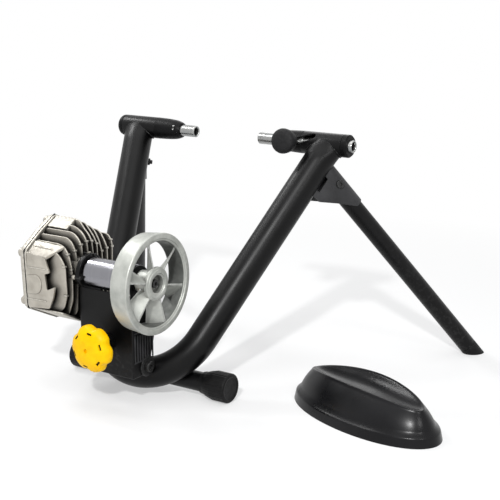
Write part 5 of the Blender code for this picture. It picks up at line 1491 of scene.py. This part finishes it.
def build_housing():
    axis = along_x(ROLLER_AXIS)
    inner = rounded(housing_outline(-FIN_DEPTH), 0.008, closed=True)
    core = plate("core", inner, HOUSING_LEFT, HOUSING_CORE_RIGHT, WHOLE, 0.0012)
    cavity = rod("cavity", CAVITY_RADIUS, HOUSING_LEFT - 0.02, HOUSING_LEFT + 0.033, axis, 96)
    carve(core, cavity, rod("shaft_room", 0.0113, -0.2, 0, axis, 48))
    outer = rounded(housing_outline(HOUSING_LIP), 0.008, closed=True)
    lip = plate("lip", outer, HOUSING_LEFT, HOUSING_LEFT + 0.004, WHOLE, 0.0010)
    carve(lip, rod("cavity", CAVITY_RADIUS, HOUSING_LEFT - 0.02, 0, axis, 96))
    flange = YOKE_LEFT - SEAT_GAP
    neck = [(NECK_BORE, -0.112), (0.036, -0.112), (0.029, -0.100), (0.0235, -0.086), (0.0225, -0.066)]
    neck += [(NECK_FLANGE_RADIUS, -0.0645), (NECK_FLANGE_RADIUS, flange), (NECK_BORE, flange)]
    parts = [core, lip, lathe("neck", rounded(neck, 0.001, closed=True), axis, 96)]
    parts += [rod("lug", LUG_RADIUS, -0.066, flange, bolt_place(a), 32, 0.001) for a in BOLT_ANGLES]
    for index, (y, edge) in enumerate(FINS, 1):
        parts += build_fin(index, y, edge)
    outline = housing_outline()
    pad_end = outline[0].lerp(outline[1], 0.62)
    left = HOUSING_LEFT + 0.002
    parts.append(wall_strip("pad", outline[0], pad_end, FIN_DEPTH + 0.003, left, PAD_RIGHT, 0.0012))
    parts.append(wall_strip("skirt", outline[3], outline[4], SKIRT_WALL, left, SKIRT_RIGHT))
    parts.append(wall_strip("skirt_back", outline[4], outline[5], SKIRT_WALL, left, SKIRT_RIGHT))
    shield = rounded(SHIELD_OUTLINE, 0.003, closed=True)
    parts.append(plate("shield", shield, -SHIELD_FRONT, -SHIELD_BACK, FACING_BACK, 0.0009, 3))
    parts.append(build_brow())
    relief = rounded(RELIEF_OUTLINE, 0.005, closed=True)
    parts.append(plate("relief", relief, -SHIELD_FRONT, -SHIELD_BACK + 0.0014, FACING_BACK, 0.0012, 3))
    for z in (0.2085, 0.1560):
        line = [(-0.146, z), (-0.104, z + 0.001), (-0.104, z + 0.003), (-0.146, z + 0.002)]
        parts.append(plate("line", line, -SHIELD_FRONT, -SHIELD_BACK + 0.0007, FACING_BACK, 0.0005))
    show(merge("fluid_housing_look", *parts), ALLOY, "cast_alloy", "resistance_unit", "fluid_housing")


def build_cover():
    """The end cover: a domed plate with a raised panel, ribs and a round boss under each screw."""
    data = bmesh.new()
    rings = []
    for offset, x in COVER_EDGE:
        outline = rounded(housing_outline(offset), 0.010, closed=True, steps=8)
        rings.append([data.verts.new((p.x, p.y, x)) for p in outline])
    join_rings(data, rings, capped=True)
    panel = rounded(housing_outline(-0.024), 0.010, closed=True)
    parts = [mesh_object("plate", data, WHOLE)]
    parts.append(plate("panel", panel, COVER_END - 0.0014, COVER_END + 0.002, WHOLE, 0.0010, 3))
    low, high = ROLLER_Z - 0.045, ROLLER_Z + 0.030
    for k in range(COVER_RIB_COUNT):
        y = ROLLER_Y - 0.012 + COVER_RIB_PITCH * k
        rib = ((y, low), (y + 0.003, low), (y + 0.003, high), (y, high))
        parts.append(plate("cover_rib", rib, COVER_END - 0.0028, COVER_END, WHOLE, 0.0008))
    root, top = COVER_FACE - 0.002, COVER_END - COVER_BOSS_HEIGHT
    for index, place in enumerate(cover_screw_places(), 1):
        parts.append(rod("boss", COVER_BOSS_RADIUS, root, top, along_x(place), 48, 0.0012))
        seat = frame_of(place + X_AXIS * (top - SEAT_GAP), -X_AXIS)
        screw = socket_screw(
            f"cover_screw_{index}_look", COVER_SCREW_HEAD_RADIUS, COVER_SCREW_HEAD_HEIGHT, seat
        )
        show(screw, ZINC, "zinc_steel", "resistance_unit", f"cover_screw_{index}")
    show(merge("housing_cover_look", *parts), ALLOY, "cast_alloy", "resistance_unit", "housing_cover")


# Rotor


def build_roller():
    """A bare steel roller with a shallow ring turned into each of its ends."""
    ring = ((0.006, 0), (0.005, 0.0012), (0.0022, 0.0012), (0.0012, 0), (0, 0.0012))
    left = [(ROLLER_RADIUS - inset, ROLLER_LEFT + depth) for inset, depth in ring]
    right = [(ROLLER_RADIUS - inset, ROLLER_RIGHT - depth) for inset, depth in ring[::-1]]
    profile = [(ROTOR_BORE, ROLLER_LEFT), *left, *right, (ROTOR_BORE, ROLLER_RIGHT)]
    roller = lathe("roller_look", rounded(profile, 0.0004, closed=True), along_x(ROLLER_AXIS), 128)
    show(roller, TURNED, "roller_steel", "rotor", "roller")


def blade(index):
    """A thin twisted blade from the hub to the rim, with fillets where it lands on them."""
    inner, outer = HUB_BODY_RADIUS - 0.002, RIM_BORE + 0.0025
    data = bmesh.new()
    rings = []
    steps, reach = 10, 12
    for k in range(steps + 1):
        share = k / steps
        x = BLADE_FRONT + (BLADE_BACK - BLADE_FRONT) * share
        angle = BLADE_PHASE + math.tau * index / BLADE_COUNT - BLADE_TWIST * share
        sides = ([], [])
        for j in range(reach + 1):
            s = j / reach
            radius = inner + (outer - inner) * s
            slope = radius * BLADE_TWIST / (BLADE_FRONT - BLADE_BACK)
            flare = 1 + 0.9 * math.exp(-s * 14) + 0.9 * math.exp(-(1 - s) * 14)
            half = BLADE_THICKNESS / 2 * flare * math.sqrt(1 + slope * slope) / radius
            thin = 0.72 if k in (0, steps) else 1.0
            for line, sign in zip(sides, (-1, 1)):
                swing = angle + sign * half * thin
                line.append(data.verts.new((radius * math.cos(swing), radius * math.sin(swing), x)))
        rings.append(sides[0] + sides[1][::-1])
    join_rings(data, rings, capped=True)
    return mesh_object(f"blade_{index}", data, along_x(ROLLER_AXIS), math.radians(45))


def build_flywheel():
    axis = along_x(ROLLER_AXIS)
    front, back = FLYWHEEL_FRONT, FLYWHEEL_BACK
    rim = [
        (RIM_BORE + 0.0008, front - 0.0016),
        (RIM_BORE + 0.0030, front - 0.0016),
        (RIM_BORE + 0.0036, front),
        (FLYWHEEL_RADIUS - 0.0012, front),
        (FLYWHEEL_RADIUS, front - 0.0014),
        (FLYWHEEL_BACK_RADIUS, back + 0.0014),
        (FLYWHEEL_BACK_RADIUS - 0.0012, back),
        (RIM_BORE + 0.0008, back),
        (RIM_BORE, back + 0.0010),
        (RIM_NECK_BORE, RIM_NECK_X),
        (RIM_BORE, front - 0.0026),
    ]
    parts = [lathe("rim", rounded(rim, 0.0009, closed=True), axis, 160)]
    recess = front - HUB_RECESS_DEPTH
    face = front - 0.001
    hub = [
        (ROTOR_BORE, back),
        (HUB_BODY_RADIUS - 0.002, back),
        (HUB_BODY_RADIUS, front - HUB_DISC_THICKNESS - 0.002),
        (HUB_RADIUS - 0.0015, front - HUB_DISC_THICKNESS),
        (HUB_RADIUS, front - HUB_DISC_THICKNESS + 0.0015),
        (HUB_RADIUS, face - 0.0022),
        (HUB_RADIUS - 0.0018, face - 0.0010),
        (HUB_RADIUS - 0.0040, face - 0.0010),
        (HUB_RADIUS - 0.0046, face),
        (HUB_RECESS_RADIUS + 0.0032, face),
        (HUB_RECESS_RADIUS + 0.0026, face - 0.0016),
        (HUB_RECESS_RADIUS, face - 0.0016),
        (HUB_RECESS_RADIUS, recess),
        (0.0035, recess),
        (0.0035, recess - 0.004),
        (ROTOR_BORE, recess - 0.005),
    ]
    parts.append(lathe("hub", rounded(hub, 0.0006, closed=True), axis, 128))
    parts += [blade(index) for index in range(BLADE_COUNT)]
    show(merge("flywheel_look", *parts), CASTING, "flywheel_metal", "rotor", "flywheel")
    # A thin dark sleeve lines the rim's bore: painted shade for the inside of the rim.
    wall = [(RIM_BORE, back + 0.0016), (RIM_NECK_BORE, RIM_NECK_X), (RIM_BORE, front - 0.0030)]
    lining = [(radius - RIM_LINING, x) for radius, x in wall] + [
        (radius + RIM_LINING, x) for radius, x in wall[::-1]
    ]
    show(lathe("flywheel_inside_shade", lining, axis, 160), SHADED_ROUGH_CASTING, "flywheel_metal", "rotor")
    head = socket_screw("bolt_head", 0.0068, 0.006, along_x(ROLLER_AXIS, recess + SEAT_GAP))
    shank = rod("bolt_shank", 0.003, 0.053, recess, axis, 32)
    show(merge("flywheel_bolt_look", head, shank), BLACK_STEEL, "zinc_steel", "rotor", "flywheel_bolt")


# Front wheel block


def block_ring(data, half_length, half_width, roundness, height, drop):
    ring = []
    for k in range(BLOCK_SEGMENTS):
        angle = math.tau * (k + 0.5) / BLOCK_SEGMENTS
        c, s = math.cos(angle), math.sin(angle)
        x = half_length * math.copysign(abs(c) ** (2 / roundness), c)
        y = half_width * math.copysign(abs(s) ** (2 / roundness), s)
        share = x / half_length
        ring.append(data.verts.new((x, y, height - drop * share * share)))
    return ring


def block_profile():
    """Half length, half width, roundness, height and drop of each ring, from the floor to the dish."""
    corners = [
        (0.0, 0.0), (BLOCK_FLANGE_DRAFT, BLOCK_FLANGE_HEIGHT), (BLOCK_SHOULDER_INSET, BLOCK_SHOULDER_HEIGHT)
    ]
    rings = []
    for inset, height in rounded(corners, 0.0018, steps=6):
        rings.append((BLOCK_HALF_LENGTH - inset, BLOCK_HALF_WIDTH - inset, BLOCK_ROUNDNESS, height, 0.0))
    foot = rings.pop()
    length, width = BLOCK_RIM_HALF_LENGTH, BLOCK_RIM_HALF_WIDTH
    top = (length, width, BLOCK_RIM_ROUNDNESS, BLOCK_RIM_HEIGHT - BLOCK_LIP, BLOCK_RIM_DROP)
    for k in range(13):
        s = k / 12
        bow = 0.0030 * math.sin(math.pi * s)
        ring = [a + (b - a) * s for a, b in zip(foot, top)]
        rings.append((ring[0] + bow * 0.6, ring[1] + bow, *ring[2:]))
    for k in range(1, 7):
        t = math.pi / 2 * k / 6
        inset = 0.0020 * (1 - math.cos(t))
        height = BLOCK_RIM_HEIGHT - BLOCK_LIP + BLOCK_LIP * math.sin(t)
        rings.append((length - inset, width - inset, BLOCK_RIM_ROUNDNESS, height, BLOCK_RIM_DROP))
    for k in range(1, 15):
        share = 1 - k / 15
        size = ((length - 0.0028) * share, (width - 0.0028) * share, 2 - 0.17 * share)
        depth = BLOCK_DISH_DEPTH * (1 - share**2.6)
        rings.append((*size, BLOCK_RIM_HEIGHT - depth, BLOCK_RIM_DROP * share**2))
    return rings


def build_block():
    data = bmesh.new()
    outer = [block_ring(data, *ring) for ring in block_profile()]
    outer.append([data.verts.new((0, 0, BLOCK_RIM_HEIGHT - BLOCK_DISH_DEPTH))])
    under = BLOCK_RIM_HEIGHT - BLOCK_DISH_DEPTH - BLOCK_WALL
    length, width = BLOCK_HALF_LENGTH - BLOCK_WALL, BLOCK_HALF_WIDTH - BLOCK_WALL
    inner = [
        [data.verts.new((0, 0, under))],
        block_ring(
            data, BLOCK_RIM_HALF_LENGTH * 0.5, BLOCK_RIM_HALF_WIDTH * 0.5, 1.9, under, BLOCK_RIM_DROP * 0.25
        ),
        block_ring(
            data,
            length - BLOCK_SHOULDER_INSET,
            width - BLOCK_SHOULDER_INSET,
            2,
            BLOCK_SHOULDER_HEIGHT - 0.002,
            0,
        ),
        block_ring(data, length, width, 2, 0, 0),
    ]
    join_rings(data, outer + inner, closed=True)
    place = Matrix.Translation(BLOCK_PLACE) @ Matrix.Rotation(BLOCK_TURN, 4, "Z")
    block = mesh_object("front_wheel_block_look", data, place, math.radians(50))
    show(block, BLOCK, "rubber", "wheel_block", "front_wheel_block")


# Stage, light and camera


FLOOR_GLOW = 0.46
FLOOR_LIT = (0.80, 0.80, 0.80, 1)
FLOOR_SHOWN = (0.46, 0.46, 0.46, 1)
FLOOR_FADE = (0.6, 1.3)
FLOOR_SIZE = 30.0
FLOOR_DROP = 0.0002
ROOM_LIGHT = 0.28
ROOM_COLOUR = (0.95, 0.97, 1.0, 1)
# Name, place, target, width, height and power
LAMPS = (
    ("overhead", (0.2, 0.1, 2.2), (0, 0, 0.1), 2.2, 1.6, 15),
    ("left_front", (-1.15, -0.75, 2.15), (-0.1, -0.2, 0.2), 0.45, 0.6, 8),
    ("left_side", (-1.5, 0.0, 1.66), (0.3, -0.2, 0.05), 0.35, 0.35, 12),
    ("right_front", (2.1, -1.2, 1.8), (0.1, -0.1, 0.2), 0.4, 0.7, 11),
    ("front", (1.15, -2.60, 2.20), (0, 0, 0.1), 0.16, 0.16, 82),
    ("behind", (-0.9, 2.1, 1.5), (0, 0, 0.2), 1.2, 1.2, 9),
)
CAMERA_PLACE = (1.08388, -1.56983, 0.68182)
CAMERA_DOWN = math.radians(14.023)
CAMERA_TURN = math.radians(33.483)
CAMERA_LENS = 82.8


def seen_by_eye(tree):
    """1 for rays from the camera, and for those that reflect off or pass through a surface."""
    path = add_node(tree, "LightPath").outputs
    value = path["Is Camera Ray"]
    for kind in ("Is Glossy Ray", "Is Transmission Ray"):
        value = add_node(tree, "Math", {0: value, 1: path[kind]}, operation="MAXIMUM").outputs[0]
    return value


def emptied(owner):
    """The node tree of a material or world, with none of its first nodes."""
    owner.use_nodes = True
    owner.node_tree.nodes.clear()
    return owner.node_tree


def either(tree, amount, first, second):
    """A shader between two others."""
    return add_node(tree, "MixShader", {"Fac": amount, 1: first.outputs[0], 2: second.outputs[0]})


def white_stage():
    """A pale floor that shows white, with its soft shadows kept."""
    material = bpy.data.materials.new("stage_floor")
    tree = emptied(material)
    lit = add_node(tree, "BsdfDiffuse", {"Color": FLOOR_LIT})
    shown = add_node(tree, "BsdfDiffuse", {"Color": FLOOR_SHOWN})
    glow = add_node(tree, "Emission", {"Strength": FLOOR_GLOW})
    both = add_node(tree, "AddShader", {0: shown.outputs[0], 1: glow.outputs[0]})
    place = add_node(tree, "TexCoord").outputs["Object"]
    reach = add_node(tree, "VectorMath", {0: place}, operation="LENGTH").outputs["Value"]
    start, end = FLOOR_FADE
    fade = add_node(tree, "MapRange", {"Value": reach, "From Min": start, "From Max": end})
    near = either(tree, fade.outputs["Result"], both, add_node(tree, "Emission"))
    seen = either(tree, seen_by_eye(tree), lit, near)
    add_node(tree, "OutputMaterial", {"Surface": seen.outputs[0]})
    data = bmesh.new()
    bmesh.ops.create_grid(data, x_segments=2, y_segments=2, size=FLOOR_SIZE)
    floor = mesh_object("floor", data, Matrix.Translation(ORIGIN - Vector((0, 0, FLOOR_DROP))))
    floor.data.materials.append(material)


def white_world():
    world = bpy.data.worlds.new("studio")
    bpy.context.scene.world = world
    tree = emptied(world)
    room = add_node(tree, "Background", {"Color": ROOM_COLOUR, "Strength": ROOM_LIGHT})
    white = add_node(tree, "Background", {"Color": (1, 1, 1, 1), "Strength": 1.0})
    add_node(tree, "OutputWorld", {"Surface": either(tree, seen_by_eye(tree), room, white).outputs[0]})


def softbox(name, place, target, width, height, power):
    light = bpy.data.lights.new(name, "AREA")
    light.shape = "RECTANGLE"
    light.size = width
    light.size_y = height
    light.energy = power
    obj = add_object(name, light)
    obj.location = place
    obj.rotation_euler = (Vector(target) - Vector(place)).to_track_quat("-Z", "Y").to_euler()


def build_stage():
    white_stage()
    white_world()
    for lamp in LAMPS:
        softbox(*lamp)
    camera = bpy.data.cameras.new("camera")
    camera.lens = CAMERA_LENS
    camera.sensor_width = 36
    camera.clip_start = 0.05
    camera.clip_end = 50
    obj = add_object("camera", camera)
    obj.location = CAMERA_PLACE
    obj.rotation_euler = (math.pi / 2 - CAMERA_DOWN, 0, CAMERA_TURN)
    bpy.context.scene.camera = obj


def build_trainer():
    build_main_tube()
    build_welds()
    build_left_head()
    build_right_head()
    build_clamp()
    build_crossbar()
    for side, name in ((-1, "left"), (1, "right")):
        build_leg(side, name)
        build_bracket(side, name)
    build_yoke()
    build_pivot()
    build_knob()
    build_housing()
    build_cover()
    build_roller()
    build_flywheel()
    build_block()
    dress(PAINT, "pivot_lug_left", "pivot_lug_right", "pivot_sleeve")
    dress(ZINC, "tension_trunnion", "tension_stud", "rotor_shaft", "bearing_left", "bearing_right")
    dress(BLACK_STEEL, "housing_bolt_1", "housing_bolt_2", "housing_bolt_3")
    dress(RUBBER, "housing_gasket", "shaft_seal")
    dress(ALLOY, "impeller")


build_trainer()
build_stage()
bpy.context.scene.view_settings.view_transform = "Standard"
